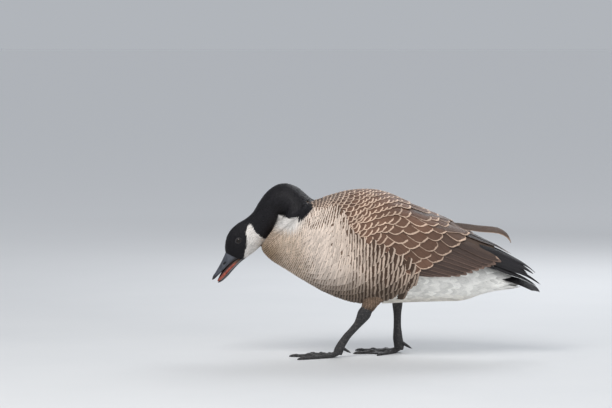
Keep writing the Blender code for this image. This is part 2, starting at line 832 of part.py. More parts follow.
# Webs: where they start along the toes, how far forward their edges reach, how hollow the front edge is, the slack
WEB_START = 0.12
WEB_REACH = 0.93
WEB_HOLLOW = 0.62
WEB_SLACK = 0.45
WEB_STEPS = 6
# The hind toe and its claw, from the ankle's joint in mm
HALLUX_ROOT = (5, -2, 21)
HALLUX_TIP = (20, -5, 12)
HALLUX_SIDES = 8
HALLUX_ROOT_SWELL, HALLUX_TAPER = 1.15, 0.35
HIND_CLAW_LENGTH = 7 * MM
HIND_CLAW_RADIUS, HIND_CLAW_TAPER = 2.2, 1.9


class Foot:
    """One webbed foot on the floor. heading is its turn, in degrees, away from the bird's own line to the outside."""

    def __init__(self, side, joint, heading):
        self.side = side
        self.joint = joint
        self.heading = heading

    def direction(self, turn):
        angle = math.radians(self.heading + turn)
        return Vector((-math.cos(angle), self.side * math.sin(angle), 0))

    def toe_point(self, toe, share):
        """A point of the toe's middle line, which comes down from the joint and rests on the floor."""
        turn, length, root, tip = TOES[toe]
        radius = self.toe_radius(toe, share)
        rise = TOE_RISE * max(0, 1 - share / TOE_RISE_LENGTH) ** 2
        flat = self.joint + self.direction(turn) * (MIDDLE_TOE_LENGTH * length * share)
        return Vector((flat.x, flat.y, radius - TOE_SINK + rise))

    def toe_radius(self, toe, share):
        """Toes taper, and swell a little at each joint."""
        turn, length, root, tip = TOES[toe]
        return (root + (tip - root) * share + KNUCKLE * math.cos(share * math.tau * 3)) * MM

    def toe(self, toe):
        across = self.direction(TOES[toe][0]).cross(Vector((0, 0, 1)))
        rings = []
        for share in np.linspace(0, 1, TOE_STEPS):
            radius = self.toe_radius(toe, share)
            middle = self.toe_point(toe, share)
            rings.append(
                [
                    middle
                    + across * radius * math.cos(math.tau * (k + 0.5) / TOE_SIDES)
                    + Vector((0, 0, 1)) * radius * math.sin(math.tau * (k + 0.5) / TOE_SIDES)
                    for k in range(TOE_SIDES)
                ]
            )
        return object_of("toe", loft_mesh(rings))

    def claw(self, toe, name, material):
        """A short claw that leaves the toe's end and bends down to the floor."""
        forward = self.direction(TOES[toe][0])
        across = forward.cross(Vector((0, 0, 1)))
        root = self.toe_point(toe, 1.0) + forward * GAP
        rings = []
        for share in CLAW_SHARES:
            radius = (CLAW_RADIUS - CLAW_TAPER * share) * MM
            middle = root + forward * CLAW_LENGTH * share
            middle.z = (CLAW_HEIGHT - CLAW_FALL * share**2) * MM
            rings.append(
                [
                    middle
                    + across * radius * CLAW_NARROWING * math.cos(math.tau * k / CLAW_SIDES)
                    + Vector((0, 0, 1)) * radius * math.sin(math.tau * k / CLAW_SIDES)
                    for k in range(CLAW_SIDES)
                ]
            )
        tip = root + forward * CLAW_LENGTH
        tip.z = CLAW_TIP_HEIGHT
        claw = object_of(name, loft_mesh(rings, tip), material)
        return cut(claw, [floor_block()])

    def web(self, first, second):
        """The web between two toes: thin, slack in the middle and hollow along its front edge."""
        upper, lower = [], []
        for v in np.linspace(WEB_START, 1, WEB_STEPS):
            rows = [], []
            for u in np.linspace(0, 1, WEB_STEPS):
                reach = v * (WEB_REACH - WEB_HOLLOW * u * (1 - u))
                a, b = self.toe_point(first, reach), self.toe_point(second, reach)
                middle = a + (b - a) * u
                slack = 4 * u * (1 - u)
                middle.z = middle.z * (1 - WEB_SLACK * slack)
                rows[0].append(middle + Vector((0, 0, WEB_THICKNESS / 2)))
                rows[1].append(middle - Vector((0, 0, WEB_THICKNESS / 2)))
            upper.append(rows[0])
            lower.append(rows[1])
        return object_of("web", sheet_mesh(upper, lower))

    def hallux(self):
        """The small hind toe, set high on the inner side at the back."""
        root = self.joint + mirrored(Vector(HALLUX_ROOT), self.side) * MM
        tip = self.joint + mirrored(Vector(HALLUX_TIP), self.side) * MM
        line = (tip - root).normalized()
        across = line.cross(Vector((0, 1, 0))).normalized()
        third = line.cross(across)
        rings = []
        for share in np.linspace(0, 1, 4):
            radius = HALLUX_RADIUS * (HALLUX_ROOT_SWELL - HALLUX_TAPER * share)
            middle = root + (tip - root) * share
            rings.append(
                [
                    middle
                    + across * radius * math.cos(math.tau * k / HALLUX_SIDES)
                    + third * radius * math.sin(math.tau * k / HALLUX_SIDES)
                    for k in range(HALLUX_SIDES)
                ]
            )
        self.hallux_end = tip, line, across, third
        return object_of("hallux", loft_mesh(rings))

    def hallux_claw(self, name, material):
        tip, line, across, third = self.hallux_end
        rings = []
        for share in (0, 0.6):
            radius = (HIND_CLAW_RADIUS - HIND_CLAW_TAPER * share) * MM
            middle = tip + line * (GAP + HIND_CLAW_LENGTH * share)
            rings.append(
                [
                    middle
                    + across * radius * math.cos(math.tau * k / CLAW_SIDES)
                    + third * radius * math.sin(math.tau * k / CLAW_SIDES)
                    for k in range(CLAW_SIDES)
                ]
            )
        return object_of(name, loft_mesh(rings, tip + line * HIND_CLAW_LENGTH), material)

    def build(self, name, material, ankle, leg):
        """Toes, webs, hind toe and the ankle where they meet, fused, with flats on the floor."""
        foot = object_of(name, loft_mesh(leg_rings(ankle, self.side * LEG_SPREAD, 2)), material)
        pieces = [self.toe(toe) for toe in TOES]
        pieces += [self.web("inner", "middle"), self.web("middle", "outer"), self.hallux()]
        join(foot, pieces)
        return cut(foot, [floor_block(), grown(leg)])


def floor_block():
    """Everything below the floor."""
    bm = bmesh.new()
    bmesh.ops.create_cube(bm, size=1)
    bmesh.ops.scale(bm, vec=(1.2, 0.6, 0.1), verts=bm.verts)
    bmesh.ops.translate(bm, vec=(0, 0, -0.05), verts=bm.verts)
    return object_of("floor_block", bm)


def make_legs(skin, feather, claw, torso):
    plans = (
        ("left", -1, LEFT_THIGH_SECTIONS, LEFT_LEG_SECTIONS, LEFT_ANKLE_SECTIONS, -78, -4),
        ("right", 1, RIGHT_THIGH_SECTIONS, RIGHT_LEG_SECTIONS, RIGHT_ANKLE_SECTIONS, 46, -16),
    )
    for word, side, thigh_sections, leg_sections, ankle_sections, foot_x, heading in plans:
        leg = make_leg(f"leg_{word}", leg_sections, side, skin, torso)
        make_thigh(f"thigh_{word}", thigh_sections, side, feather, torso, leg)
        foot = Foot(side, Vector((foot_x * MM, side * LEG_SPREAD, 0)), heading)
        foot.build(f"foot_{word}", skin, ankle_sections, leg)
        for toe in TOES:
            foot.claw(toe, f"claw_{toe}_{word}", claw)
        foot.hallux_claw(f"claw_hind_{word}", claw)


def centre_on_footprint():
    """Moves the whole bird so that the origin lies under the middle of its box."""
    bpy.context.view_layer.update()
    corners = [v.co for obj in bpy.context.scene.objects for v in obj.data.vertices]
    shift = Matrix.Translation(
        (
            -(min(c.x for c in corners) + max(c.x for c in corners)) / 2,
            -(min(c.y for c in corners) + max(c.y for c in corners)) / 2,
            0,
        )
    )
    for obj in bpy.context.scene.objects:
        obj.data.transform(shift)


def main():
    clear_scene()
    black = finish("black_feather", BLACK_FEATHER, 0.85)
    buff = finish("body_feather", BUFF_FEATHER, 0.85)
    brown = finish("wing_feather", BROWN_FEATHER, 0.75)
    dark = finish("tail_feather", DARK_FEATHER, 0.7)
    skin = finish("leg_skin", DARK_SKIN, 0.6)
    horn = finish("bill_horn", BILL_HORN, 0.4)
    mouth = finish("mouth", MOUTH_RED, 0.35)
    eye = finish("eye", EYE_BROWN, 0.08)

    torso = make_torso(buff)
    make_neck(black, torso)
    make_head(black, torso)
    make_eyes(eye)
    make_upper_bill(horn)
    make_lower_bill(horn)
    make_tongue(mouth)
    make_wings(brown, torso)
    make_tail(dark, torso)
    make_legs(skin, buff, horn, torso)
    centre_on_footprint()


main()
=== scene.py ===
import math

import bmesh
import bpy
import numpy as np
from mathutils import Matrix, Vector
from mathutils.bvhtree import BVHTree


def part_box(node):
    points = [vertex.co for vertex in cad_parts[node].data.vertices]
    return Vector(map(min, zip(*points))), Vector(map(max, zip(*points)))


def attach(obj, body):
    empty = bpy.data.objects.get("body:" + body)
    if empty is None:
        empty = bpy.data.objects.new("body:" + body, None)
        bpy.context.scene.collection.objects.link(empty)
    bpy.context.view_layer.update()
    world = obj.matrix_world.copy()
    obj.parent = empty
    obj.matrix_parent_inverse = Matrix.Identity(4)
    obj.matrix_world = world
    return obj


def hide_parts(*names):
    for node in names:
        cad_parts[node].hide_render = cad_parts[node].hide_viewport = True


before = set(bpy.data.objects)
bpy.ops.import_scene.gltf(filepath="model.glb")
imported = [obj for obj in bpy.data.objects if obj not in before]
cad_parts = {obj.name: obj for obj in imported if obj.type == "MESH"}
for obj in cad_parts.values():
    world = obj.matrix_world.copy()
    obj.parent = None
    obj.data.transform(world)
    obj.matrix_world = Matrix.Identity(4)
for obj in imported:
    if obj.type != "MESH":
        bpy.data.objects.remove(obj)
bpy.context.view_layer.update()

# --------------------------------------------------------------------------------------------------------
# The skin under the feathers. One hide covers head, neck, body and thighs with no seam, and lies a few
# millimetres inside the solids, by the depth of the coat. It is lofted from sections of the bird, one
# rounded ring after another, fused with the thighs and drawn in.

MM = 0.001
EYE_X = -275 * MM
eye_low, eye_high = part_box("eye_left")
SHIFT = Vector(((eye_low.x + eye_high.x) / 2 - EYE_X, 0, 0))

BODY_FULLNESS = 2.15

# Sections in mm: upper outline x and z, lower outline x and z, half-width, share of the depth at which it
# is widest, and how full its corners are.
HEAD = (
    (-302, 206, -268, 191, 13.5, 0.50, 2.0), (-303, 220, -259.5, 196.5, 18.5, 0.52, 2.0),
    (-299, 239, -248, 205, 22.5, 0.50, 2.0), (-289.5, 253.5, -238, 213.5, 24, 0.50, 2.0),
    (-276.5, 264.5, -229, 223, 24, 0.50, 2.0), (-261, 273.5, -220, 232.5, 23.5, 0.50, 2.0),
)
NECK = (
    (-246.5, 286.5, -210, 246, 25, 0.50, 2.0), (-235.5, 305.5, -201, 263, 27, 0.50, 2.05),
    (-222, 324, -196, 277, 29, 0.50, 2.05), (-204, 339, -192, 283, 31.5, 0.50, 2.05),
    (-184, 344, -187, 282, 34, 0.50, 2.05), (-162, 338, -186, 278, 38, 0.50, 2.05),
    (-145, 325, -190, 276, 42, 0.52, 2.1),
)
TORSO = (
    (-130, 311, -193.5, 273, 46, 0.52, BODY_FULLNESS), (-114, 313, -212, 245, 61, 0.52, BODY_FULLNESS),
    (-90, 321, -230.5, 218, 74, 0.52, BODY_FULLNESS), (-64, 327, -214, 194, 83, 0.52, BODY_FULLNESS),
    (-38, 328, -186, 176, 88, 0.52, BODY_FULLNESS), (-10, 324, -146, 151, 90, 0.53, BODY_FULLNESS),
    (18, 313, -98, 124.5, 90, 0.54, BODY_FULLNESS), (46, 301, -46, 107, 87, 0.55, BODY_FULLNESS),
    (74, 288, 10, 104.5, 82, 0.56, BODY_FULLNESS), (106, 273, 70, 107, 73, 0.57, BODY_FULLNESS),
    (142, 251, 126, 108.5, 61, 0.58, BODY_FULLNESS), (178, 222, 174, 110.5, 46, 0.58, BODY_FULLNESS),
    (210, 195, 210, 123, 32, 0.58, BODY_FULLNESS), (240, 174, 242, 129.5, 21, 0.58, BODY_FULLNESS),
    (268, 160, 272, 133.5, 12, 0.58, BODY_FULLNESS),
)
TORSO_END = (288, 146, 289, 137, 4, 0.58, BODY_FULLNESS)
THIGHS = {
    "left": (-42, ((-4, 150, 27), (-6, 130, 23.5), (-11.5, 116, 18.5), (-16.5, 104, 14), (-20.5, 94, 11.6))),
    "right": (42, ((48, 160, 27), (46, 138, 23), (44, 122, 18), (42.5, 110, 13.2), (42.5, 103, 11))),
}
LEG_FLATTENING = 0.68
LONGEST_RAY = 0.3
SKIN_VOXEL = 2.6 * MM
SOCKET_DEPTH = 2.6 * MM
# The fold where the neck rests on the breast is filled by a ball of this size
FOLD_SIZE, FOLD_PLACE = Vector((11, 26, 11)) * MM, Vector((-190, 0, 277)) * MM
COAT_DEPTH = {"head": 1.0 * MM, "neck": 2.2 * MM, "body": 4.0 * MM}


def smooth_rows(rows, steps):
    """The rows joined by a smooth curve through each, with this many steps from one row to the next."""
    points = np.array(rows, float)
    padded = np.vstack([2 * points[0] - points[1], points, 2 * points[-1] - points[-2]])
    t = (np.arange(steps) / steps)[:, None]
    found = []
    for a, b, c, d in zip(padded, padded[1:], padded[2:], padded[3:]):
        found.append(0.5 * (2 * b + (c - a) * t + (2 * a - 5 * b + 4 * c - d) * t**2
                            + (3 * b - a - 3 * c + d) * t**3))
    found.append(points[-1:])
    return np.vstack(found)


def lengths_along(points):
    """The distance along a line of points from its start to each."""
    return np.concatenate([[0], np.cumsum(np.linalg.norm(np.diff(points, axis=0), axis=1))])


def resampled(points, arc, at):
    """Places at the given distances along a line of points whose own distances are arc."""
    return np.stack([np.interp(at, arc, points[:, k]) for k in range(points.shape[1])], 1)


def section_rings(rows, count):
    """A ring of points, in metres, for each row: from the top, down the bird's left side and up its right."""
    x1, z1, x2, z2, half, widest, full = (rows[:, i : i + 1] for i in range(7))
    angle = np.linspace(0, math.tau, count, endpoint=False)[None, :]
    c, s = np.cos(angle), np.sin(angle)
    bulge = np.abs(c) ** (2 / full)
    share = np.where(c > 0, widest * (1 - bulge), widest + (1 - widest) * bulge)
    side = -np.sign(s) * np.abs(s) ** (2 / full) * half
    return np.stack([x1 + (x2 - x1) * share, side + 0 * share, z1 + (z2 - z1) * share], -1) * MM


def limb_rings(rows, y, count, flattening=LEG_FLATTENING):
    """Rings round a limb, square to its line. Rows in mm: x, z and half its depth fore and aft."""
    line = np.gradient(rows[:, :2], axis=0)
    line /= np.linalg.norm(line, axis=1)[:, None]
    angle = np.linspace(0, math.tau, count, endpoint=False)[None, :]
    fore = rows[:, 2:3] * np.cos(angle)
    x = rows[:, 0:1] + line[:, 1:2] * -fore
    z = rows[:, 1:2] + line[:, 0:1] * fore
    return np.stack([x, y + rows[:, 2:3] * flattening * np.sin(angle), z], -1) * MM


def lofted(bm, rings, capped=True):
    """Adds a sheet wrapped through the rings, joined to itself along its seam and closed at its ends."""
    count, last = len(rings[0]), len(rings) - 1
    made = bmesh.ops.create_grid(bm, x_segments=count, y_segments=last, size=0.5)["verts"]
    for vert in made:
        vert.co = rings[round((vert.co.y + 0.5) * last)][round((vert.co.x + 0.5) * count) % count]
    bmesh.ops.remove_doubles(bm, verts=made, dist=1e-7)
    if capped:
        made = [vert for vert in made if vert.is_valid]
        bmesh.ops.holes_fill(bm, edges=list({edge for vert in made for edge in vert.link_edges
                                             if edge.is_boundary}))


def object_from(name, bm):
    """A piece from a bmesh made in the working frame, shifted to the solids' own."""
    bmesh.ops.recalc_face_normals(bm, faces=bm.faces)
    bmesh.ops.translate(bm, vec=SHIFT, verts=bm.verts)
    mesh = bpy.data.meshes.new(name)
    bm.to_mesh(mesh)
    bm.free()
    mesh.shade_smooth()
    piece = bpy.data.objects.new(name, mesh)
    bpy.context.scene.collection.objects.link(piece)
    return piece


def applied(piece):
    """Puts the result of a piece's modifiers in its mesh."""
    graph = bpy.context.evaluated_depsgraph_get()
    piece.data = bpy.data.meshes.new_from_object(piece.evaluated_get(graph))
    piece.modifiers.clear()
    piece.data.shade_smooth()
    return piece


def fused(piece, voxel, rounds, factor=0.5):
    """One closed surface round all that the piece holds, evened out."""
    remesh = piece.modifiers.new("Fuse", "REMESH")
    remesh.mode = "VOXEL"
    remesh.voxel_size = voxel
    even = piece.modifiers.new("Even", "SMOOTH")
    even.factor = factor
    even.iterations = rounds
    return applied(piece)


def ease(value, low, high):
    """0 below low, 1 above high, and a smooth rise between."""
    t = np.clip((np.asarray(value, float) - low) / (high - low), 0, 1)
    return t * t * (3 - 2 * t)


body_bm = bmesh.new()
lofted(body_bm, section_rings(smooth_rows((*HEAD, *NECK, *TORSO, TORSO_END), 5), 48))
bmesh.ops.recalc_face_normals(body_bm, faces=body_bm.faces)
body_tree = BVHTree.FromBMesh(body_bm)
for thigh_y, thigh_rows in THIGHS.values():
    lofted(body_bm, limb_rings(smooth_rows(thigh_rows, 4), thigh_y, 24))
fold = bmesh.ops.create_uvsphere(body_bm, u_segments=24, v_segments=16, radius=1)["verts"]
bmesh.ops.scale(body_bm, vec=FOLD_SIZE, verts=fold)
bmesh.ops.translate(body_bm, vec=FOLD_PLACE, verts=fold)
skin = fused(object_from("skin", body_bm), SKIN_VOXEL, 4)

EYE_SIDE = 18.3 * MM
EYE_HEIGHT = 231.5 * MM
EYE_RADIUS = 6.8 * MM
# The way the eye lies, from its back corner to its front one: along X and down
EYE_LINE = (0.88, 0.475)


def settle(piece):
    """Draws the skin in by the depth of the coat, and a little more into the sockets of the eyes."""
    mesh = piece.data
    count = len(mesh.vertices)
    places, normals = np.empty(count * 3), np.empty(count * 3)
    mesh.vertices.foreach_get("co", places)
    mesh.vertices.foreach_get("normal", normals)
    places, normals = places.reshape(-1, 3), normals.reshape(-1, 3)
    x, z = places[:, 0] - SHIFT.x, places[:, 2]
    depth = COAT_DEPTH["head"] + (COAT_DEPTH["neck"] - COAT_DEPTH["head"]) * ease(x, -262 * MM, -225 * MM)
    depth += (COAT_DEPTH["body"] - COAT_DEPTH["neck"]) * ease(x + 0.4 * (z - 0.27), -195 * MM, -120 * MM)
    depth *= 1 - 0.6 * ease(-z, -135 * MM, -95 * MM)
    from_eye = np.hypot(x - EYE_X, z - EYE_HEIGHT)
    depth += SOCKET_DEPTH * (1 - ease(from_eye, 4 * MM, 8.5 * MM))
    places -= normals * depth[:, None]
    mesh.vertices.foreach_set("co", places.ravel())
    mesh.update()


settle(skin)
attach(skin, "root")
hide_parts("head", "neck", "torso", "thigh_left", "thigh_right")

# --------------------------------------------------------------------------------------------------------
# The plumage: what every feathered piece shares. A feather is a closed vane, cambered across, that starts
# under the ones before it and ends over the ones behind it. Feathers are laid on smooth surfaces round the
# bird, in rows that are staggered as real ones are, and all of them take their colours from one account of
# the bird's markings.

CLOAK = (
    (-104, 318, 244, 76, 90), (-64, 329, 234, 87, 100), (-34, 332.5, 228, 94, 105),
    (-4, 331.5, 222, 98, 108), (26, 323.5, 217, 99, 108), (56, 310, 212, 98, 105), (86, 297, 206, 94, 100),
    (116, 284, 200, 88, 92), (146, 270, 194, 79, 82), (176, 254, 189, 68, 70), (206, 237, 186, 55, 56),
    (236, 222, 182, 43, 44), (266, 203, 173, 32, 34), (296, 184, 160, 23, 26), (326, 156, 142, 15, 18),
    (338, 144, 133, 11, 14),
)
CLOAK_REACH, CLOAK_SIDES = 142, 96
COAT_SPAN, RING_POINTS, ROW_STEPS = 64, 180, 6
SHEET_STEP = 2 * MM
MAP_SHARE, MAP_EDGE = 0.97, 0.01


class Surface:
    """A grid of points that feathers lie on. u runs the way the feathers point and v across them."""

    def __init__(self, grid, closed):
        self.closed = closed
        self.grid = grid
        ahead = np.gradient(grid, axis=0)
        if closed:
            across = (np.roll(grid, -1, 1) - np.roll(grid, 1, 1)) / 2
        else:
            across = np.gradient(grid, axis=1)
        normal = np.cross(ahead, across)
        normal /= np.maximum(np.linalg.norm(normal, axis=2), 1e-12)[..., None]
        middle = grid.mean(1, keepdims=True)
        if np.sum(normal * (grid - middle)) < 0:
            normal = -normal
        self.values = np.concatenate([grid, normal, ahead, across], 2)

    def read(self, u, v):
        """Point, normal and the two steps of the grid at each place."""
        rows, columns = self.grid.shape[:2]
        u = np.clip(u, 0, rows - 1.001)
        v = np.mod(v, columns) if self.closed else np.clip(v, 0, columns - 1.001)
        i, j = np.floor(u).astype(int), np.floor(v).astype(int)
        a, b = (u - i)[..., None], (v - j)[..., None]
        j2 = (j + 1) % columns if self.closed else j + 1
        table = self.values
        value = (table[i, j] * (1 - b) + table[i, j2] * b) * (1 - a)
        value = value + (table[i + 1, j] * (1 - b) + table[i + 1, j2] * b) * a
        return value[..., 0:3], value[..., 3:6], value[..., 6:9], value[..., 9:12]

    def unwrap(self, u, v):
        """The place on a flat map of the surface, for baking."""
        rows, columns = self.grid.shape[:2]
        v = np.mod(v, columns) if self.closed else v
        return np.stack([np.clip(v / columns, 0, 1) * MAP_SHARE + MAP_EDGE,
                         np.clip(u / rows, 0, 1) * MAP_SHARE + MAP_EDGE], -1)


def sheet(grid):
    """An open surface whose outer side faces up."""
    surface = Surface(grid, False)
    if surface.values[..., 5].mean() < 0:
        surface.values[..., 3:6] *= -1
    return surface


def evened(ring, half):
    """A ring resampled at equal steps along each side, from its top to its bottom and back up."""
    left = ring[: len(ring) // 2 + 1]
    arc = lengths_along(left)
    at = np.linspace(0, arc[-1], half + 1)
    side = resampled(left, arc, at)
    other = side[-2:0:-1] * (1, -1, 1)
    return np.vstack([side, other])


def cast_ring(trees, line, count):
    """Where the bird's surface is met in the plane of the line from top to bottom and the Y axis."""
    top, bottom = Vector((line[0], 0, line[1])) * MM, Vector((line[2], 0, line[3])) * MM
    middle = (top + bottom) / 2
    up = (top - bottom).normalized()
    ring = []
    for k in range(count):
        angle = math.tau * k / count
        ray = up * math.cos(angle) + Vector((0, -1, 0)) * math.sin(angle)
        reach = 0.0
        for tree in trees:
            hit = tree.ray_cast(middle, ray, LONGEST_RAY)
            if hit[0]:
                reach = max(reach, hit[3])
        ring.append(middle + ray * reach)
    return np.array(ring)


cloak_rows = smooth_rows(CLOAK, 5) * MM
cloak_bm = bmesh.new()
cloak_angle = np.radians(np.linspace(-CLOAK_REACH, CLOAK_REACH, CLOAK_SIDES + 1))
cloak_bulge = np.abs(np.cos(cloak_angle)) ** (2 / BODY_FULLNESS)
bmesh.ops.create_grid(cloak_bm, x_segments=len(cloak_rows) - 1, y_segments=CLOAK_SIDES, size=0.5)
for vert in cloak_bm.verts:
    row = cloak_rows[round((vert.co.x + 0.5) * (len(cloak_rows) - 1))]
    k = round((vert.co.y + 0.5) * CLOAK_SIDES)
    c, s = math.cos(cloak_angle[k]), math.sin(cloak_angle[k])
    rise = (row[1] - row[2]) * cloak_bulge[k] if c > 0 else -row[4] * cloak_bulge[k]
    vert.co = (row[0], -math.copysign(abs(s) ** (2 / BODY_FULLNESS), s) * row[3], row[2] + rise)
cloak_tree = BVHTree.FromBMesh(cloak_bm)
cloak_bm.free()

# Lines across the body that its rows of feathers follow, from the top to the bottom outline in mm. They fan
# out round the base of the neck and stand upright on the flank.
BODY_LINES = (
    (-130, 311, -193.5, 273), (-127, 313, -210, 250), (-122, 316, -222, 226), (-114, 318, -220, 204),
    (-105, 320, -199, 187), (-96, 322, -170, 168), (-87, 324, -140, 148), (-77, 325, -110, 130),
    (-65, 327, -84, 117), (-50, 328, -60, 109), (-32, 328, -36, 106), (-12, 325, -12, 105),
    (10, 316, 12, 104), (32, 307, 34, 104), (56, 296, 55, 105), (80, 285, 74, 107), (100, 277, 90, 107),
)
REAR_LINES = (
    (40, 303, 10, 105), (62, 293, 40, 106), (84, 284, 66, 107), (106, 273, 90, 108), (130, 259, 118, 108.5),
    (154, 242, 146, 109), (178, 222, 174, 110.5), (210, 195, 210, 123), (240, 174, 242, 129.5),
    (268, 160, 272, 133.5), (288, 147, 289, 136.5),
)


def coat_surface(rings, rounds=3):
    """A surface through rings, with kinks from one ring to the next evened out."""
    grid = np.array([evened(ring, COAT_SPAN) for ring in rings])
    for _ in range(rounds):
        grid[1:-1] = (grid[:-2] + 2 * grid[1:-1] + grid[2:]) / 4
    return Surface(grid, True)


head_neck_rings = section_rings(smooth_rows((*HEAD, *NECK, TORSO[0]), ROW_STEPS), RING_POINTS)
body_rings = [cast_ring((body_tree, cloak_tree), line, RING_POINTS)
              for line in smooth_rows(BODY_LINES, ROW_STEPS)[1:]]
front_coat = coat_surface([*head_neck_rings, *body_rings])
NECK_END = len(head_neck_rings) - 1
HEAD_END = ROW_STEPS * (len(HEAD) - 1)
rear_coat = coat_surface([cast_ring((body_tree,), line, RING_POINTS)
                          for line in smooth_rows(REAR_LINES, ROW_STEPS)])

BACK_START, BACK_END, BACK_STEP = -146 * MM, 332 * MM, 2 * MM
BACK_REACH = 150
# From here on the back is the wings alone
WINGS_ONLY_FROM = 60 * MM
BACK_HALF = 120
BACK_CENTRE = ((-146, -60, 60, 120, 180, 240, 300, 336), (262, 250, 235, 215, 190, 172, 158, 138))


def back_surface():
    """The back and the folded wings, unrolled: u runs back in steps of 2 mm, and v down from the ridge."""
    grid = []
    for x in np.arange(BACK_START, BACK_END, BACK_STEP):
        middle = Vector((x, 0, np.interp(x / MM, *BACK_CENTRE) * MM))
        trees = (body_tree, cloak_tree) if x < WINGS_ONLY_FROM else (cloak_tree,)
        profile = []
        for angle in np.radians(np.linspace(0, BACK_REACH, 101)):
            ray = Vector((0, -math.sin(angle), math.cos(angle)))
            hits = [tree.ray_cast(middle, ray, LONGEST_RAY) for tree in trees]
            reach = max((hit[3] for hit in hits if hit[0]), default=0)
            if not reach:
                break
            profile.append(middle + ray * reach)
        profile = np.array(profile)
        arc = lengths_along(profile)
        at = np.arange(BACK_HALF + 1) * BACK_STEP
        side = resampled(profile, arc, at)
        over = np.maximum(at - arc[-1], 0)[:, None]
        last = profile[-1] - profile[-4]
        side += over * last / np.linalg.norm(last)
        grid.append(np.vstack([side[:0:-1] * (1, -1, 1), side]))
    grid = np.array(grid)
    for _ in range(4):
        grid[1:-1] = (grid[:-2] + 2 * grid[1:-1] + grid[2:]) / 4
    return Surface(grid, False)


back = back_surface()


def back_place(x, z, side=1):
    """u and v on the back for a point in mm as seen from the side; side is 1 on the bird's left."""
    u = (np.asarray(x, float) * MM - BACK_START) / BACK_STEP
    found = []
    for place, height in zip(np.atleast_1d(u), np.atleast_1d(np.asarray(z, float)) * MM):
        column = back.read(np.full(BACK_HALF, place), BACK_HALF + np.arange(BACK_HALF))[0][:, 2]
        fall = np.minimum.accumulate(column)
        found.append(np.interp(-height, -fall, np.arange(BACK_HALF)))
    return u, BACK_HALF + side * np.array(found)


# Colours of the plumage: ground and fringe
BLACK = (0.0050, 0.0046, 0.0060)
WHITE = (0.83, 0.80, 0.77)
CHEEK_WHITE = (0.76, 0.70, 0.64)
BREAST_BROWN = ((0.120, 0.072, 0.042), (0.38, 0.27, 0.175))
BREAST_BUFF = ((0.27, 0.18, 0.12), (0.66, 0.53, 0.42))
FLANK_FRONT = ((0.20, 0.13, 0.088), (0.78, 0.66, 0.57))
FLANK_REAR = ((0.080, 0.047, 0.032), (0.54, 0.42, 0.335))
# The belly: its own brown with painted shade on top, darker than the bird's real colour
SHADED_BELLY = ((0.070, 0.047, 0.033), (0.24, 0.18, 0.135))
REAR_WHITE = (0.78, 0.76, 0.72)
BACK_BROWN = (0.150, 0.079, 0.051)
FRINGE_BUFF = (0.64, 0.465, 0.35)

# The lower edge of the black stocking, the line between the head and neck and the breast below them, and
# the edges of the white cheek, in mm as seen from the side
STOCKING_EDGE = (
    (-200, -195, -183, -173, -161, -153.5, -147.5, -139.5, -133.5, -127.5, -120),
    (283, 282, 280, 278.5, 279.5, 275, 279, 286, 294, 301, 330),
)
THROAT_LINE = ((180, 204, 218, 231, 246, 263, 277, 283, 290),
               (-242, -238, -235, -224, -212, -203, -197, -194, -190))
CHEEK_FRONT = ((190, 200, 210, 220, 230, 240, 250, 260, 266),
               (-267, -264.5, -262.5, -259.5, -258.5, -259.5, -261, -257, -252.5))
CHEEK_BACK = ((190, 222, 231, 235, 242, 250, 260, 266), (-200, -205, -219.5, -226, -234, -242, -249, -252.5))
EDGE_BLUR = 0.8


def mix(a, b, share):
    """Colours a and b mixed, each point by its own share."""
    return a + (np.asarray(b) - a) * share[:, None]


def stocking(x, z):
    """1 on the head and the black of the neck, 0 below the neck's lower edge. x and z in mm."""
    fore = ease(np.interp(z, *THROAT_LINE) - x, -EDGE_BLUR, EDGE_BLUR)
    return np.where(x < -196, fore,
                    np.where(x < -121, ease(z - np.interp(x, *STOCKING_EDGE), -EDGE_BLUR, EDGE_BLUR), 0.0))


def markings(points):
    """Ground colour, fringe colour and width of the fringe of the plumage at each point."""
    x, z = (points[:, 0] - SHIFT.x) / MM, points[:, 2] / MM
    one = np.ones(len(x))
    rear = ease(x + 0.25 * (z - 200), -120, 10)
    kinds = [mix(np.outer(one, front), back_, rear) for front, back_ in zip(FLANK_FRONT, FLANK_REAR)]
    width = 0.40 - 0.14 * rear
    shares = (
        (BREAST_BUFF, 1 - ease(x + 0.2 * (z - 230), -172, -128)),
        (BREAST_BROWN, (1 - ease(x, -214, -176)) * (1 - ease(z, 205, 258))),
        ((WHITE, WHITE), (1 - ease(x + 0.5 * (270 - z), -168, -140)) * ease(z + 0.12 * (x + 190), 244, 266)),
        # painted shade: the lower body, below about 122 to 180 mm, takes the darkened belly colour
        (SHADED_BELLY, (1 - ease(z, 122, 180)) * ease(x, -210, -150)),
        ((REAR_WHITE, WHITE), ease(x + 0.35 * (135 - z), 86, 96)),
        (((0.15, 0.10, 0.07), (0.26, 0.18, 0.13)),
         (1 - ease(z, 104, 118)) * (1 - ease(x, 70, 80)) * ease(x, -60, -50)),
        ((BLACK, (0.012, 0.011, 0.014)), stocking(x, z)),
    )
    for colours, share in shares:
        kinds = [mix(kind, colour, share) for kind, colour in zip(kinds, colours)]
    cheek = ease(x - np.interp(z, *CHEEK_FRONT), -EDGE_BLUR, EDGE_BLUR) * ease(np.interp(z, *CHEEK_BACK) - x,
                                                                               -EDGE_BLUR, EDGE_BLUR)
    cheek *= ease(-z, -267, -263) * stocking(x, z)
    kinds = [mix(kind, colour, cheek) for kind, colour in zip(kinds, (CHEEK_WHITE, WHITE))]
    return *kinds, width


TIP_CROWDING = 1.7


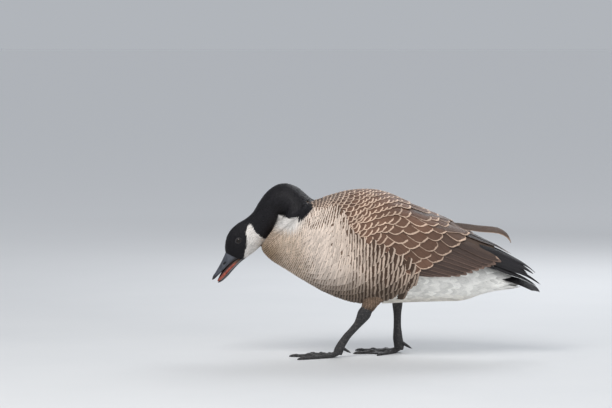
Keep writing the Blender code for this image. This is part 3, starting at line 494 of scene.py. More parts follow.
def vane_form(across, along):
    """Places on a flat vane, as shares of its half-width and its length, with the faces that close it."""
    bm = bmesh.new()
    bmesh.ops.create_grid(bm, x_segments=across, y_segments=along, size=1)
    bm.verts.ensure_lookup_table()
    rows = [[None] * (across + 1) for _ in range(along + 1)]
    for vert in bm.verts:
        rows[round((vert.co.y + 1) / 2 * along)][round((vert.co.x + 1) / 2 * across)] = vert
        vert.co.y = 1 - 2 * (1 - (vert.co.y + 1) / 2) ** TIP_CROWDING
    for near, far in zip(rows, rows[1:]):
        bm.faces.new((near[0], near[-1], far[-1], far[0]))
    bm.faces.new(rows[0])
    bm.faces.new(rows[-1])
    bmesh.ops.recalc_face_normals(bm, faces=bm.faces)
    bm.verts.index_update()
    places = np.array([(vert.co.x, (vert.co.y + 1) / 2) for vert in bm.verts])
    faces = [[vert.index for vert in face.verts] for face in bm.faces]
    top = faces[0]
    a, b, c = (places[k] for k in top[:3])
    turns_up = (b[0] - a[0]) * (c[1] - a[1]) - (b[1] - a[1]) * (c[0] - a[0]) > 0
    bm.free()
    return places, faces, turns_up


VANES = {"tuft": vane_form(2, 3), "contour": vane_form(4, 5), "broad": vane_form(6, 7),
         "quill": vane_form(6, 12)}
TIP_START = 0.45
MOST_STEPS, MOST_OPEN_STEPS = 13, 400
MOST_STRETCH = 1.4
SHARP_ANGLE = math.radians(70)
FRAYED_FROM = 0.8
TUFT_PATCH = 0.003
# Step across the surface at which rows of feathers are measured out
ROW_SCAN = 0.25
TIP_ROUNDNESS = 2.3


def outline(along, root, roundness):
    """Half-width of a vane along its length, as a share of its widest."""
    rise = root + (1 - root) * ease(along, 0, TIP_START)
    past = np.clip((along - TIP_START) / (1 - TIP_START), 0, 0.992)
    return rise * (1 - past**roundness) ** (1 / roundness)


def feather_object(name, batches, material):
    """One piece from batches of laid feathers."""
    counts = [batch["points"].shape[0] * batch["points"].shape[1] for batch in batches]
    points = np.vstack([batch["points"].reshape(-1, 3) for batch in batches])
    loops, sizes, base = [], [], 0
    for batch, total in zip(batches, counts):
        n, each = batch["points"].shape[:2]
        template = np.concatenate([np.array(face) for face in batch["faces"]])
        loops.append((template[None] + base + each * np.arange(n)[:, None]).ravel())
        sizes.append(np.tile([len(face) for face in batch["faces"]], n))
        base += total
    loops, sizes = np.concatenate(loops), np.concatenate(sizes)
    mesh = bpy.data.meshes.new(name)
    mesh.vertices.add(len(points))
    mesh.vertices.foreach_set("co", (points + np.array(SHIFT)).ravel())
    mesh.loops.add(len(loops))
    mesh.loops.foreach_set("vertex_index", loops)
    mesh.polygons.add(len(sizes))
    mesh.polygons.foreach_set("loop_start", np.concatenate([[0], np.cumsum(sizes)[:-1]]))
    mesh.update(calc_edges=True)
    for layer in ("OFBake", "vane"):
        uv = np.vstack([batch[layer].reshape(-1, 2) for batch in batches])
        mesh.uv_layers.new(name=layer).data.foreach_set("uv", uv[loops].ravel())
    for layer in ("ground", "fringe"):
        colour = np.vstack([batch[layer].reshape(-1, 4) for batch in batches])
        mesh.attributes.new(layer, "FLOAT_COLOR", "POINT").data.foreach_set("color", colour.ravel())
    mesh.shade_smooth()
    mesh.set_sharp_from_angle(angle=SHARP_ANGLE)
    mesh.materials.append(material)
    piece = bpy.data.objects.new(name, mesh)
    bpy.context.scene.collection.objects.link(piece)
    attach(piece, "root")
    return piece


def lay(surface, form, u, v, heading, length, width, lifts, rng, look=None, **shape):
    """Lays feathers with their tips at u, v. Heading turns each from the way of the rows, in radians."""
    places, faces, turns_up = VANES[form]
    root, roundness = shape.get("root", 0.5), shape.get("roundness", TIP_ROUNDNESS)
    camber, ragged, patch = shape.get("camber", 0.12), shape.get("ragged", 0.05), shape.get("patch",
                                                                                            TUFT_PATCH)
    skew, tilt = (np.reshape(shape.get(name, 0.0), (-1, 1)) for name in ("skew", "tilt"))
    u, v, heading, length, width = np.broadcast_arrays(*(np.asarray(a, float)
                                                         for a in (u, v, heading, length, width)))
    count = len(u)
    point, normal, ahead, across = surface.read(u, v)
    step = np.linalg.norm(ahead, axis=1)
    forward = ahead / step[:, None]
    shear = np.sum(across * forward, 1)
    square = across - forward * shear[:, None]
    most = MOST_STEPS if surface.closed else MOST_OPEN_STEPS
    span = np.maximum(np.linalg.norm(square, axis=1), width / most)
    step = np.maximum(step, length / most)
    flip = np.sum(np.cross(forward, square) * normal) < 0
    c, l = places[:, 0][None], places[:, 1][None]
    frayed = rng.uniform(-ragged, ragged, (count, len(places))) * (places[:, 1] > FRAYED_FROM)
    reach = width[:, None] / 2 * c * outline(l, root, roundness)
    away = length[:, None] * (l - 1 + frayed) - skew * reach * l**2
    turn = heading[:, None]
    a = away * np.cos(turn) - reach * np.sin(turn)
    b = away * np.sin(turn) + reach * np.cos(turn)
    dv = b / span[:, None]
    du = a / step[:, None] - shear[:, None] / step[:, None] * dv
    low, middle, high = (np.asarray(lift, float)[..., None] if np.ndim(lift) else lift for lift in lifts)
    lift = np.where(l < 0.5, low + (middle - low) * l * 2, middle + (high - middle) * (l - 0.5) * 2)
    lift = lift - camber * width[:, None] / 2 * c**2 * (0.3 + 0.7 * l)
    lift = lift + tilt * reach
    at, up, _, _ = surface.read(u[:, None] + du, v[:, None] + dv)
    up = up / np.maximum(np.linalg.norm(up, axis=2), 1e-9)[..., None]
    points = at + up * lift[..., None]
    seen = points[:, np.argmin(np.abs(places[:, 0]) + np.abs(places[:, 1] - 0.75))]
    sound = np.max(np.linalg.norm(points - seen[:, None], axis=2), 1) < MOST_STRETCH * np.maximum(length,
                                                                                                  width)
    ground, fringe, edge = (look or markings)(seen + np.array(SHIFT))
    tone = rng.uniform(0, 1, count)
    lower = shape.get("lower", 1)
    flat = np.stack([0.5 + 0.5 * lower * c * outline(l, root, roundness) + 0 * u[:, None],
                     l + 0 * u[:, None]], -1)
    root_u, root_v = u + du[:, 0], v + dv[:, 0]
    unwrapped = surface.unwrap(root_u, root_v)[:, None] + (flat - 0.5) * patch
    layers = {"OFBake": unwrapped, "vane": flat}
    layers["ground"] = np.repeat(np.hstack([ground, np.reshape(edge, (-1, 1))])[:, None], len(places), 1)
    layers["fringe"] = np.repeat(np.hstack([fringe, tone[:, None]])[:, None], len(places), 1)
    outward = faces if turns_up != flip else [face[::-1] for face in faces]
    layers = {name: layer[sound] for name, layer in layers.items()}
    return {"points": points[sound], "faces": outward, **layers}


# The finish of the plumage: the ground and fringe colours of each feather, its shaft, and the fine barbs
# that slant from it, which also stand up as relief.
look_group = bpy.data.node_groups.new("feather_look", "ShaderNodeTree")
for socket_name, socket_type, default in (
    ("Fringe", "NodeSocketFloat", 1.0),
    ("Barbs", "NodeSocketFloat", 1.0),
    ("Shaft", "NodeSocketFloat", 0.5),
    ("Barb Count", "NodeSocketFloat", 26.0),
    ("Shade", "NodeSocketFloat", 0.45),
    ("Squareness", "NodeSocketFloat", 2.4),
    ("Lower Side", "NodeSocketFloat", 1.0),
    ("Upper Side", "NodeSocketFloat", 1.0),
):
    socket = look_group.interface.new_socket(socket_name, in_out="INPUT", socket_type=socket_type)
    socket.default_value = default
look_group.interface.new_socket("Color", in_out="OUTPUT", socket_type="NodeSocketColor")
look_group.interface.new_socket("Height", in_out="OUTPUT", socket_type="NodeSocketFloat")


class Wiring:
    """Short hand for nodes and links in one tree."""

    def __init__(self, tree):
        self.tree = tree

    def node(self, kind, **settings):
        node = self.tree.nodes.new(kind)
        for name, value in settings.items():
            setattr(node, name, value)
        return node

    def put(self, socket, value):
        if isinstance(value, bpy.types.NodeSocket):
            self.tree.links.new(value, socket)
        elif value is not None:
            socket.default_value = value

    def maths(self, operation, a, b=None, c=None):
        node = self.node("ShaderNodeMath", operation=operation)
        for socket, value in zip(node.inputs, (a, b, c)):
            self.put(socket, value)
        return node.outputs[0]

    def plus(self, a, b):
        return self.maths("ADD", a, b)

    def minus(self, a, b):
        return self.maths("SUBTRACT", a, b)

    def times(self, a, b):
        return self.maths("MULTIPLY", a, b)

    def scaled(self, value, by, plus):
        """value * by + plus"""
        return self.maths("MULTIPLY_ADD", value, by, plus)

    def rise(self, value, low, high):
        """0 below low, 1 above high, smooth between."""
        node = self.node("ShaderNodeMapRange", interpolation_type="SMOOTHSTEP")
        self.put(node.inputs["Value"], value)
        self.put(node.inputs["From Min"], low)
        self.put(node.inputs["From Max"], high)
        return node.outputs["Result"]

    def blend(self, share, a, b, how="MIX"):
        node = self.node("ShaderNodeMix", data_type="RGBA", blend_type=how)
        self.put(node.inputs["Factor"], share)
        self.put(node.inputs[6], a)
        self.put(node.inputs[7], b)
        return node.outputs[2]

    def noise(self, scale, detail=3.0, rough=0.55, vector=None, stretch=None):
        node = self.node("ShaderNodeTexNoise")
        node.inputs["Scale"].default_value = scale
        node.inputs["Detail"].default_value = detail
        node.inputs["Roughness"].default_value = rough
        if vector is None:
            vector = self.place()
        if stretch:
            mapping = self.node("ShaderNodeMapping")
            mapping.inputs["Scale"].default_value = stretch
            self.put(mapping.inputs["Vector"], vector)
            vector = mapping.outputs["Vector"]
        self.put(node.inputs["Vector"], vector)
        return node.outputs["Fac"]


    def relief(self, shader, height, strength, distance):
        """Stands the height up on the finish."""
        node = self.node("ShaderNodeBump")
        node.inputs["Strength"].default_value = strength
        node.inputs["Distance"].default_value = distance
        self.put(node.inputs["Height"], height)
        self.put(shader.inputs["Normal"], node.outputs["Normal"])

    def place(self):
        return self.node("ShaderNodeTexCoord").outputs["Object"]

    def split(self, vector):
        """The three parts of a vector."""
        node = self.node("ShaderNodeSeparateXYZ")
        self.put(node.inputs[0], vector)
        return node.outputs


def new_finish(name):
    """A new material with its wiring and its shader."""
    material = bpy.data.materials.new(name)
    material.use_nodes = True
    return material, Wiring(material.node_tree), material.node_tree.nodes["Principled BSDF"]


def fill_look_group(tree):
    w = Wiring(tree)
    given = w.node("NodeGroupInput")
    result = w.node("NodeGroupOutput")
    ground = w.node("ShaderNodeAttribute", attribute_name="ground")
    fringe = w.node("ShaderNodeAttribute", attribute_name="fringe")
    uv = w.node("ShaderNodeUVMap", uv_map="vane")
    side_out, along, _ = w.split(uv.outputs[0])
    signed = w.scaled(side_out, 2.0, -1.0)
    across = w.maths("ABSOLUTE", signed)
    lower = w.times(w.maths("MAXIMUM", signed, 0.0), given.outputs["Lower Side"])
    upper = w.times(w.maths("MAXIMUM", w.times(signed, -1.0), 0.0), given.outputs["Upper Side"])
    past = w.maths("MAXIMUM", w.scaled(along, 1 / (1 - TIP_START), -TIP_START / (1 - TIP_START)), 0.0)
    power = given.outputs["Squareness"]
    side = w.maths("POWER", w.plus(lower, upper), power)
    far = w.maths("POWER", w.plus(side, w.maths("POWER", past, power)), w.maths("DIVIDE", 1.0, power))
    waver = w.scaled(w.noise(330.0, 2.0), 0.14, -0.07)
    far = w.plus(far, waver)
    edge = w.minus(1.0, ground.outputs["Alpha"])
    soft = w.scaled(ground.outputs["Alpha"], 0.3, edge)
    rim = w.times(w.rise(far, edge, soft), given.outputs["Fringe"])
    base = w.blend(rim, ground.outputs["Color"], fringe.outputs["Color"])
    # barbs: fine stripes that slant from the shaft to the edge, a little broken
    slant = w.scaled(across, -0.55, along)
    slant = w.plus(slant, w.times(w.noise(120.0, 2.0), 0.05))
    stripe = w.maths("SINE", w.times(w.times(slant, given.outputs["Barb Count"]), math.tau))
    break_up = w.rise(w.noise(520.0, 3.0, 0.65), 0.30, 0.70)
    barbs = w.times(w.scaled(stripe, 0.5, 0.5), break_up)
    barbs = w.times(barbs, given.outputs["Barbs"])
    dark = w.blend(w.times(barbs, 0.24), base, (0.0, 0.0, 0.0, 1))
    # the shaft, and the shade that the feather before it casts on the root
    shaft = w.minus(1.0, w.rise(across, 0.015, 0.05))
    shaft = w.times(w.times(shaft, given.outputs["Shaft"]), w.minus(1.0, rim))
    lined = w.blend(shaft, dark, w.blend(0.5, dark, (0.02, 0.014, 0.011, 1)))
    root = w.rise(along, 0.1, 0.75)
    under = w.scaled(w.minus(1.0, root), w.times(given.outputs["Shade"], -1.0), 1.0)
    tone = w.scaled(fringe.outputs["Alpha"], 0.36, 0.82)
    level = w.times(w.times(under, tone), w.scaled(w.noise(60.0), 0.3, 0.85))
    grey = w.node("ShaderNodeCombineColor")
    for k in range(3):
        w.put(grey.inputs[k], level)
    w.put(result.inputs["Color"], w.blend(1.0, lined, grey.outputs[0], "MULTIPLY"))
    ridge = w.scaled(shaft, 1.5, w.times(barbs, -1.0))
    w.put(result.inputs["Height"], ridge)


fill_look_group(look_group)


def plumage_material(name, roughness, bump, gloss, **given):
    """A feather finish. What is given goes to the shared look's sockets of the same names."""
    material, w, shader = new_finish(name)
    look = w.node("ShaderNodeGroup", node_tree=look_group)
    for socket_name, value in given.items():
        look.inputs[socket_name.replace("_", " ")].default_value = value
    w.put(shader.inputs["Base Color"], look.outputs["Color"])
    w.relief(shader, look.outputs["Height"], bump, 0.4 * MM)
    w.put(shader.inputs["Roughness"], w.scaled(w.noise(200.0), 0.2, roughness - 0.1))
    shader.inputs["Specular IOR Level"].default_value = gloss
    return material


black_plumage = plumage_material("black_plumage", 0.55, 0.5, 0.25, Barbs=0.8, Barb_Count=5.0, Shaft=0.0,
                                 Shade=0.5)
body_plumage = plumage_material(
    "body_plumage", 0.75, 0.6, 0.25, Barbs=0.7, Barb_Count=17.0, Shaft=0.3, Shade=0.5, Squareness=6.0,
    Lower_Side=0.72, Upper_Side=0.72
)
wing_plumage = plumage_material(
    "wing_plumage", 0.62, 0.6, 0.3, Barbs=0.8, Barb_Count=40.0, Shaft=0.5, Shade=0.4, Squareness=3.6,
    Lower_Side=0.98, Upper_Side=0.9
)
quill_plumage = plumage_material(
    "quill_plumage", 0.5, 0.6, 0.4, Barbs=0.9, Barb_Count=60.0, Shaft=0.8, Shade=0.3, Upper_Side=0.6
)


def down_material():
    """The skin's finish: the same markings as the coat, under fine down."""
    material, w, shader = new_finish("under_down")
    ground = w.node("ShaderNodeAttribute", attribute_name="ground")
    fluff = w.noise(700.0, 4.0, 0.7)
    w.put(shader.inputs["Base Color"],
          w.blend(w.times(fluff, 0.6), ground.outputs["Color"], (0.02, 0.016, 0.014, 1)))
    w.relief(shader, fluff, 0.6, 0.5 * MM)
    shader.inputs["Roughness"].default_value = 0.85
    return material


def mark_skin(piece):
    mesh = piece.data
    places = np.empty(len(mesh.vertices) * 3)
    mesh.vertices.foreach_get("co", places)
    ground, _, _ = markings(places.reshape(-1, 3))
    colour = np.hstack([ground, np.ones((len(ground), 1))])
    mesh.attributes.new("ground", "FLOAT_COLOR", "POINT").data.foreach_set("color", colour.ravel())


mark_skin(skin)
skin.data.materials.clear()
skin.data.materials.append(down_material())


def rows_of(surface, start, end, spacing, rng, width_share=0.8, waver=0.12):
    """Tips for rows of feathers from u = start to end. spacing gives the wanted step in metres at each point.

    Where the rows run together, every second or fourth one is left out. Returns u, v and the local spacing.
    """
    columns = surface.grid.shape[1]
    steps = np.arange(0, columns, ROW_SCAN)
    u, k = float(start), 0
    found = []
    while u < end:
        point, _, ahead, across = surface.read(np.full(len(steps), u), steps)
        wanted = spacing(point)
        pace = np.linalg.norm(ahead, axis=1)
        du = float(np.min(wanted / np.maximum(pace, 1e-6)))
        density = wanted / np.maximum(pace * du, 1e-9)
        skip = 2 ** np.floor(np.log2(np.maximum(density, 1)))
        arc = np.cumsum(np.linalg.norm(across, axis=1) * ROW_SCAN / (wanted * 2 * width_share))
        for phase in (0, 1):
            at = np.arange(0.5 * phase, arc[-1], 1.0)
            v = np.interp(at, arc, steps)
            here = np.clip(np.searchsorted(steps, v), 0, len(steps) - 1)
            kept = (k % skip[here] == 0) & ((k // skip[here]) % 2 == phase)
            found.append(np.stack([np.full(kept.sum(), u), v[kept], wanted[here][kept]], 1))
        u += du
        k += 1
    found = np.vstack(found)
    found[:, 0] += rng.uniform(-waver, waver, len(found)) * found[:, 2] / 0.004
    return found


# --------------------------------------------------------------------------------------------------------
# Head and neck: short velvety feathers, the smallest round the bill and the eyes and longer down the neck,
# black with the white cheeks and throat. Each is a tuft rooted in the skin and laid close along the head.

def near_eye(points, grow=0.0):
    """True inside the opening of the lids. points in metres."""
    x, z = points[:, 0] - EYE_X, points[:, 2] - EYE_HEIGHT
    along, over = -EYE_LINE[0] * x - EYE_LINE[1] * z, -EYE_LINE[1] * x + EYE_LINE[0] * z
    return (along / (6.3 * MM + grow)) ** 2 + (over / (4.9 * MM + grow)) ** 2 < 1


def head_spacing(points):
    from_bill = np.hypot(points[:, 0] + 0.290, points[:, 2] - 0.199)
    return 1.25 * MM + 0.75 * MM * ease(from_bill, 5 * MM, 55 * MM)


def neck_spacing(points):
    x = points[:, 0] + 0.5 * (0.33 - points[:, 2])
    return 2.0 * MM + 1.1 * MM * ease(x, -250 * MM, -150 * MM)


def short_coat(name, surface, start, end, spacing, seed, length_share, lifts, material):
    rng = np.random.default_rng(seed)
    tips = rows_of(surface, start, end, spacing, rng)
    u, v, step = tips.T
    place = surface.read(u, v)[0]
    kept = ~near_eye(place, 0.2 * MM)
    kept &= (u < NECK_END - 12) | (stocking(place[:, 0] / MM, place[:, 2] / MM) > 0.4)
    u, v, step, place = u[kept], v[kept], step[kept], place[kept]
    dark = markings(place + np.array(SHIFT))[0].mean(1)[:, None] < 0.2
    length = step * length_share * rng.uniform(0.85, 1.2, len(u))
    heading = rng.normal(0, 0.12, len(u))
    high = lifts[2] + rng.uniform(0, 0.28, len(u)) * step * (0.4 + 0.6 * dark[:, 0])
    batch = lay(surface, "tuft", u, v, heading, length, step * 1.5, (lifts[0], lifts[1], high), rng,
                ragged=0.12)
    return feather_object(name, [batch], material)


short_coat(
    "coat_head", front_coat, 0.4, HEAD_END, head_spacing, 11, 3.0, (-0.8 * MM, 0.05 * MM, 0.2 * MM),
    black_plumage
)
short_coat(
    "coat_neck", front_coat, HEAD_END, NECK_END + 26, neck_spacing, 12, 3.4, (-1.6 * MM, 0.0, 0.4 * MM),
    black_plumage
)

# --------------------------------------------------------------------------------------------------------
# Breast, flanks and belly: rows of broad, blunt contour feathers, brown with pale ends that line up as
# bars. They are small below the neck and largest on the flank, where they lie up over the lower edge of the
# folded wing.

FLANK_TOP = (
    (-128, -116, -104, -92, -84, -74, -64, -59, -55, -43, -31, -16, 8, 24, 36, 47, 59, 71, 83, 88),
    (300, 297, 298, 301, 303, 300, 289, 279, 264, 251, 242, 234, 224, 221, 217, 207, 199, 189, 177, 164),
)
FLANK_END = ((104, 114, 121, 131, 142, 152, 164, 178), (-4, 6, 35, 60, 80, 86, 88, 84))


def flank_spacing(points):
    x, z = points[:, 0] / MM, points[:, 2] / MM
    size = 3.6 + 6.4 * ease(x + 0.35 * (250 - z), -165, 15)
    size = size + (5.0 - size) * 0.8 * (1 - ease(z, 120, 165)) * ease(-x, -40, 60)
    return size * MM


def body_coat(name, start, end, seed):
    rng = np.random.default_rng(seed)
    tips = rows_of(front_coat, start, end, flank_spacing, rng, 1.15, 0.06)
    u, v, step = tips.T
    place = front_coat.read(u, v)[0]
    x, z = place[:, 0] / MM, place[:, 2] / MM
    kept = (x < -128) | (z < np.interp(x, *FLANK_TOP))
    kept &= x < np.interp(z, *FLANK_END)
    kept &= stocking(x, z) < 0.5
    u, v, step, x, z = (a[kept] for a in (u, v, step, x, z))
    length = step * 2.9 * rng.uniform(0.92, 1.1, len(u))
    heading = rng.normal(0, 0.05, len(u))
    rim = ease(z - np.interp(x, *FLANK_TOP), -16, -2) * (x > -90)
    rear = ease(x - np.interp(z, *FLANK_END), -26, -4)
    high = 1.2 * MM + 1.0 * MM * np.maximum(rim, rear) + 0.12 * step * rng.uniform(0, 1, len(u))
    length *= 1 - 0.22 * rim
    broad = step * (3.6 - 1.1 * rim)
    middle = -0.4 * MM + 0.7 * MM * np.maximum(rim, rear)
    low = np.full(len(u), -3.2 * MM)
    big = step > 6.5 * MM
    batches = []
    for chosen, form in ((big, "broad"), (~big, "contour")):
        if chosen.any():
            batches.append(
                lay(front_coat, form, u[chosen], v[chosen], heading[chosen], length[chosen], broad[chosen],
                    (low[chosen], middle[chosen], high[chosen]), rng, ragged=0.025, roundness=6.0, root=0.6,
                    camber=0.04,
                    tilt=0.03)
            )
    return feather_object(name, batches, body_plumage)


body_coat("coat_breast", NECK_END - 16, NECK_END + 48, 21)
body_coat("coat_flanks", NECK_END + 48, NECK_END + 95, 22)

# --------------------------------------------------------------------------------------------------------
# The white rear: long soft feathers under and over the tail, from behind the flanks out to the tail's
# middle.

def rear_look(points):
    z = points[:, 2] / MM
    low = (1 - ease(z, 110, 128)) * 0.4
    ground = mix(np.tile((0.88, 0.86, 0.81), (len(points), 1)), (0.52, 0.44, 0.33), low)
    return ground, ground * 1.02, np.full(len(points), 0.3)


def rear_spacing(points):
    return (7.5 + 1.5 * ease(points[:, 0], 60 * MM, 160 * MM) - 2.5
            * ease(points[:, 0], 200 * MM, 270 * MM)) * MM


def rear_coat_piece():
    rng = np.random.default_rng(31)
    u, v, step = rows_of(rear_coat, 1, 59, rear_spacing, rng, 0.75).T
    place = rear_coat.read(u, v)[0]
    x, z = place[:, 0] / MM, place[:, 2] / MM
    kept = x > np.interp(z, *FLANK_END) - 22
    u, v, step = (a[kept] for a in (u, v, step))
    length = step * 4.4 * rng.uniform(0.9, 1.1, len(u))
    heading = rng.normal(0, 0.07, len(u))
    batch = lay(rear_coat, "contour", u, v, heading, length, step * 3.2, (-2.6 * MM, -0.2 * MM, 0.45 * MM),
                rng,
                look=rear_look, ragged=0.05)
    return feather_object("coat_rear", [batch], body_plumage)


rear_coat_piece()

# --------------------------------------------------------------------------------------------------------
# Thighs: short feathers that run down over the top of each leg.

def thigh_look(points):
    z = points[:, 2] / MM
    ground = mix(np.tile((0.17, 0.115, 0.08), (len(points), 1)), (0.06, 0.042, 0.032), 1 - ease(z, 92, 108))
    return ground, ground * 1.7, np.full(len(points), 0.35)


def thigh_coat(word):
    rng = np.random.default_rng(41)
    y, rows = THIGHS[word]
    rings = limb_rings(smooth_rows(rows, 6), y, 48) * 1.0
    surface = Surface(rings, True)
    u, v, step = rows_of(surface, 2, len(rings) - 1.2, lambda p: np.full(len(p), 3.6 * MM), rng).T
    length = step * 3.0 * rng.uniform(0.9, 1.15, len(u))
    batch = lay(surface, "contour", u, v, rng.normal(0, 0.1, len(u)), length, step * 1.8,
                (-1.6 * MM, -0.1 * MM, 0.7 * MM), rng, look=thigh_look, ragged=0.1)
    return feather_object(f"coat_thigh_{word}", [batch], body_plumage)


for word in THIGHS:
    thigh_coat(word)

# --------------------------------------------------------------------------------------------------------
# The folded wings. Scapulars and coverts lie in slanting rows from the ridge of the back down to the flank,
# each row a line of pale-edged feathers; the secondaries fan out below them, and black primaries stick out
# behind. A thin pad, the folded arm, carries them.

# Lines along which the tips of each row stand, in mm as seen from the side, from the ridge down
TIP_LINES = (
    ((-127, 309), (-126, 304), (-126, 300), (-127, 296)),
    ((-104, 317), (-108, 307), (-112, 298), (-116, 290)),
    ((-80, 324), (-88, 313), (-98, 302), (-104, 291)),
    ((-54, 329), (-60, 317), (-70, 304), (-80, 289)),
    ((-26, 331), (-26, 314), (-36, 301), (-43, 287), (-54, 266)),
    ((-12, 331), (-16, 309), (-26, 297), (-28, 287), (-41, 275), (-52, 256)),
    ((0, 331), (-3, 307), (-13, 294), (-15, 287), (-27, 275), (-43, 249)),
    ((16, 328), (15, 313), (12, 304), (8, 295), (-4, 282), (-15, 262), (-36, 240)),
    ((34, 322), (32, 308), (27, 297), (21, 287), (18, 275), (4, 262), (-14, 232)),
    ((50, 316), (46, 310), (43, 298), (42, 285), (36, 275), (20, 258), (4, 225)),
    ((66, 310), (66, 292), (63, 279), (59, 265), (45, 251), (22, 220)),
    ((94, 298), (103, 291), (107, 282), (104, 271), (93, 264), (75, 251), (36, 218)),
    ((122, 286), (122, 269), (111, 260), (101, 247), (91, 233), (74, 223), (43, 204)),
    ((150, 272), (142, 266), (138, 255), (126, 242), (117, 226), (106, 210), (92, 200), (63, 188)),
    ((186, 256), (178, 241), (162, 229), (135, 208), (117, 193), (92, 179), (75, 172)),
)
# Which lines bear a row, as a place along the list, and the width and length of its feathers in mm
ROWS = (
    *((k * 0.34, 9 + 2.2 * k * 0.34, 20 + 3.5 * k * 0.34) for k in range(12)),
    (4, 22, 38), (4.5, 23, 40), (5, 25, 42), (5.5, 26, 44), (6, 28, 46), (6.5, 29, 48), (7, 30, 50),
    (7.5, 31, 50),
    (8, 32, 52), (8.6, 33, 54), (9.2, 35, 56), (10, 38, 62), (11, 42, 76), (12, 36, 66), (13, 34, 66),
    (14, 36, 68),
)
COVERT_SPACING = 0.68


def tip_line(place, side):
    """u and v of 60 places along one row's line, evenly from its upper end down."""
    near = int(min(place, len(TIP_LINES) - 2))
    share = place - near
    paths = []
    for line in TIP_LINES[near : near + 2]:
        path = smooth_rows(line, 8)
        arc = lengths_along(path)
        at = np.linspace(0, arc[-1], 60)
        paths.append(resampled(path, arc, at))
    path = paths[0] * (1 - share) + paths[1] * share
    return back_place(path[:, 0], path[:, 1], side)


def wing_look(points):
    x = (points[:, 0] - SHIFT.x) / MM
    one = np.ones(len(points))
    ground = mix(np.outer(one, (0.085, 0.050, 0.036)), BACK_BROWN, ease(x, -110, -30))
    ground = mix(ground, (0.118, 0.070, 0.050), ease(x, 90, 150))
    fringe = mix(np.outer(one, (0.62, 0.47, 0.37)), FRINGE_BUFF, ease(x, -100, -20))
    width = 0.26 - 0.14 * ease(x, -110, 10) - 0.02 * ease(x, 40, 110)
    return ground, fringe, width


def quill_look(colour, edge, width):
    """One colour and one edge for every feather that bears it."""
    def look(points):
        n = len(points)
        return np.tile(colour, (n, 1)), np.tile(edge, (n, 1)), np.full(n, width)
    return look


def wing_rows(side, rng):
    batches = []
    for number, (place, width, length) in enumerate(ROWS):
        u, v = tip_line(place, side)
        path, _, ahead, across = back.read(u, v)
        arc = lengths_along(path)
        step = width * MM * COVERT_SPACING
        first = ((number + (side < 0)) % 2) * 0.5 * step
        at = np.arange(first, arc[-1] + 0.2 * step, step)
        at = at + rng.uniform(-0.08, 0.08, len(at)) * step * (at > 0)
        fu, fv = (np.interp(at, arc, a) for a in (u, v))
        line_u = np.interp(at, arc, np.gradient(u) * np.linalg.norm(ahead, axis=1))
        line_v = np.interp(at, arc, np.gradient(v) * np.linalg.norm(across, axis=1)) * side
        slant = np.clip(np.arctan2(-line_u, line_v), -0.2, 1.1)
        down = at / max(arc[-1], 1e-6)
        drop = np.radians(np.interp(place, (0, 4, 8, 11, 14), (3, 3, 2, 1, -2))) + 0.42 * slant
        size = width * MM * (1 - 0.2 * down)
        long = length * MM * (1 - 0.22 * down)
        rim = 1.2 * MM * down * (place < 11.8)
        tip = np.interp(place, (0, 3, 14), (0.8, 1.0, 1.4)) * MM + rng.uniform(0, 0.4, len(at)) * MM - rim
        batches.append(
            lay(back, "quill" if place >= 4 else "broad", fu, fv,
                side * (drop + rng.normal(0, 0.03, len(at))), long,
                size, (-2.2 * MM - rim, -0.5 * MM - rim, tip), rng, look=wing_look, roundness=3.6, root=0.7,
                ragged=0.012, camber=0.06, patch=0.016, skew=side * np.tan(slant - drop) * 0.8,
                tilt=side * 0.07,
                lower=side)
        )
    return batches


# The bare line of the back between the two wings, in mm: its start, its end and the step along it
RIDGE_LINE = (-98, 34, 9.0)


def ridge_feathers(rng):
    """One line of feathers down the middle of the back, where the rows of the two wings part."""
    x = np.arange(*RIDGE_LINE)
    u = (x * MM - BACK_START) / BACK_STEP
    share = (x - RIDGE_LINE[0]) / (RIDGE_LINE[1] - RIDGE_LINE[0])
    return lay(back, "broad", u, np.full(len(x), float(BACK_HALF)), rng.normal(0, 0.05, len(x)),
               (24 + 18 * share) * MM,
               (19 + 8 * share) * MM, (-2.2 * MM, -0.4 * MM, 1.1 * MM), rng, look=wing_look, roundness=3.6,
               root=0.7,
               ragged=0.012, camber=0.06, patch=0.016)


SECONDARY_ROOTS = ((24, 187), (143, 239))
SECONDARY_TIPS = ((115, 166), (135, 165), (155, 164), (173, 166), (189, 171), (205, 177), (219, 181),
                  (232, 185), (246, 191))


def laid_between(side, start, end, width, lifts, rng, look, **shape):
    """One long feather from its root to its tip, both in mm as seen from the side."""
    u, v = back_place((start[0], end[0]), (start[1], end[1]), side)
    point, _, ahead, across = back.read(u[1:], v[1:])
    away = np.array([(u[1] - u[0]) * np.linalg.norm(ahead), (v[1] - v[0]) * np.linalg.norm(across)])
    heading = math.atan2(away[1], away[0])
    length = float(np.hypot(*away))
    return lay(back, "quill", u[1:], v[1:], [heading], [length], [width * MM], [lift * MM for lift in lifts],
               rng,
               look=look, lower=side, **shape)


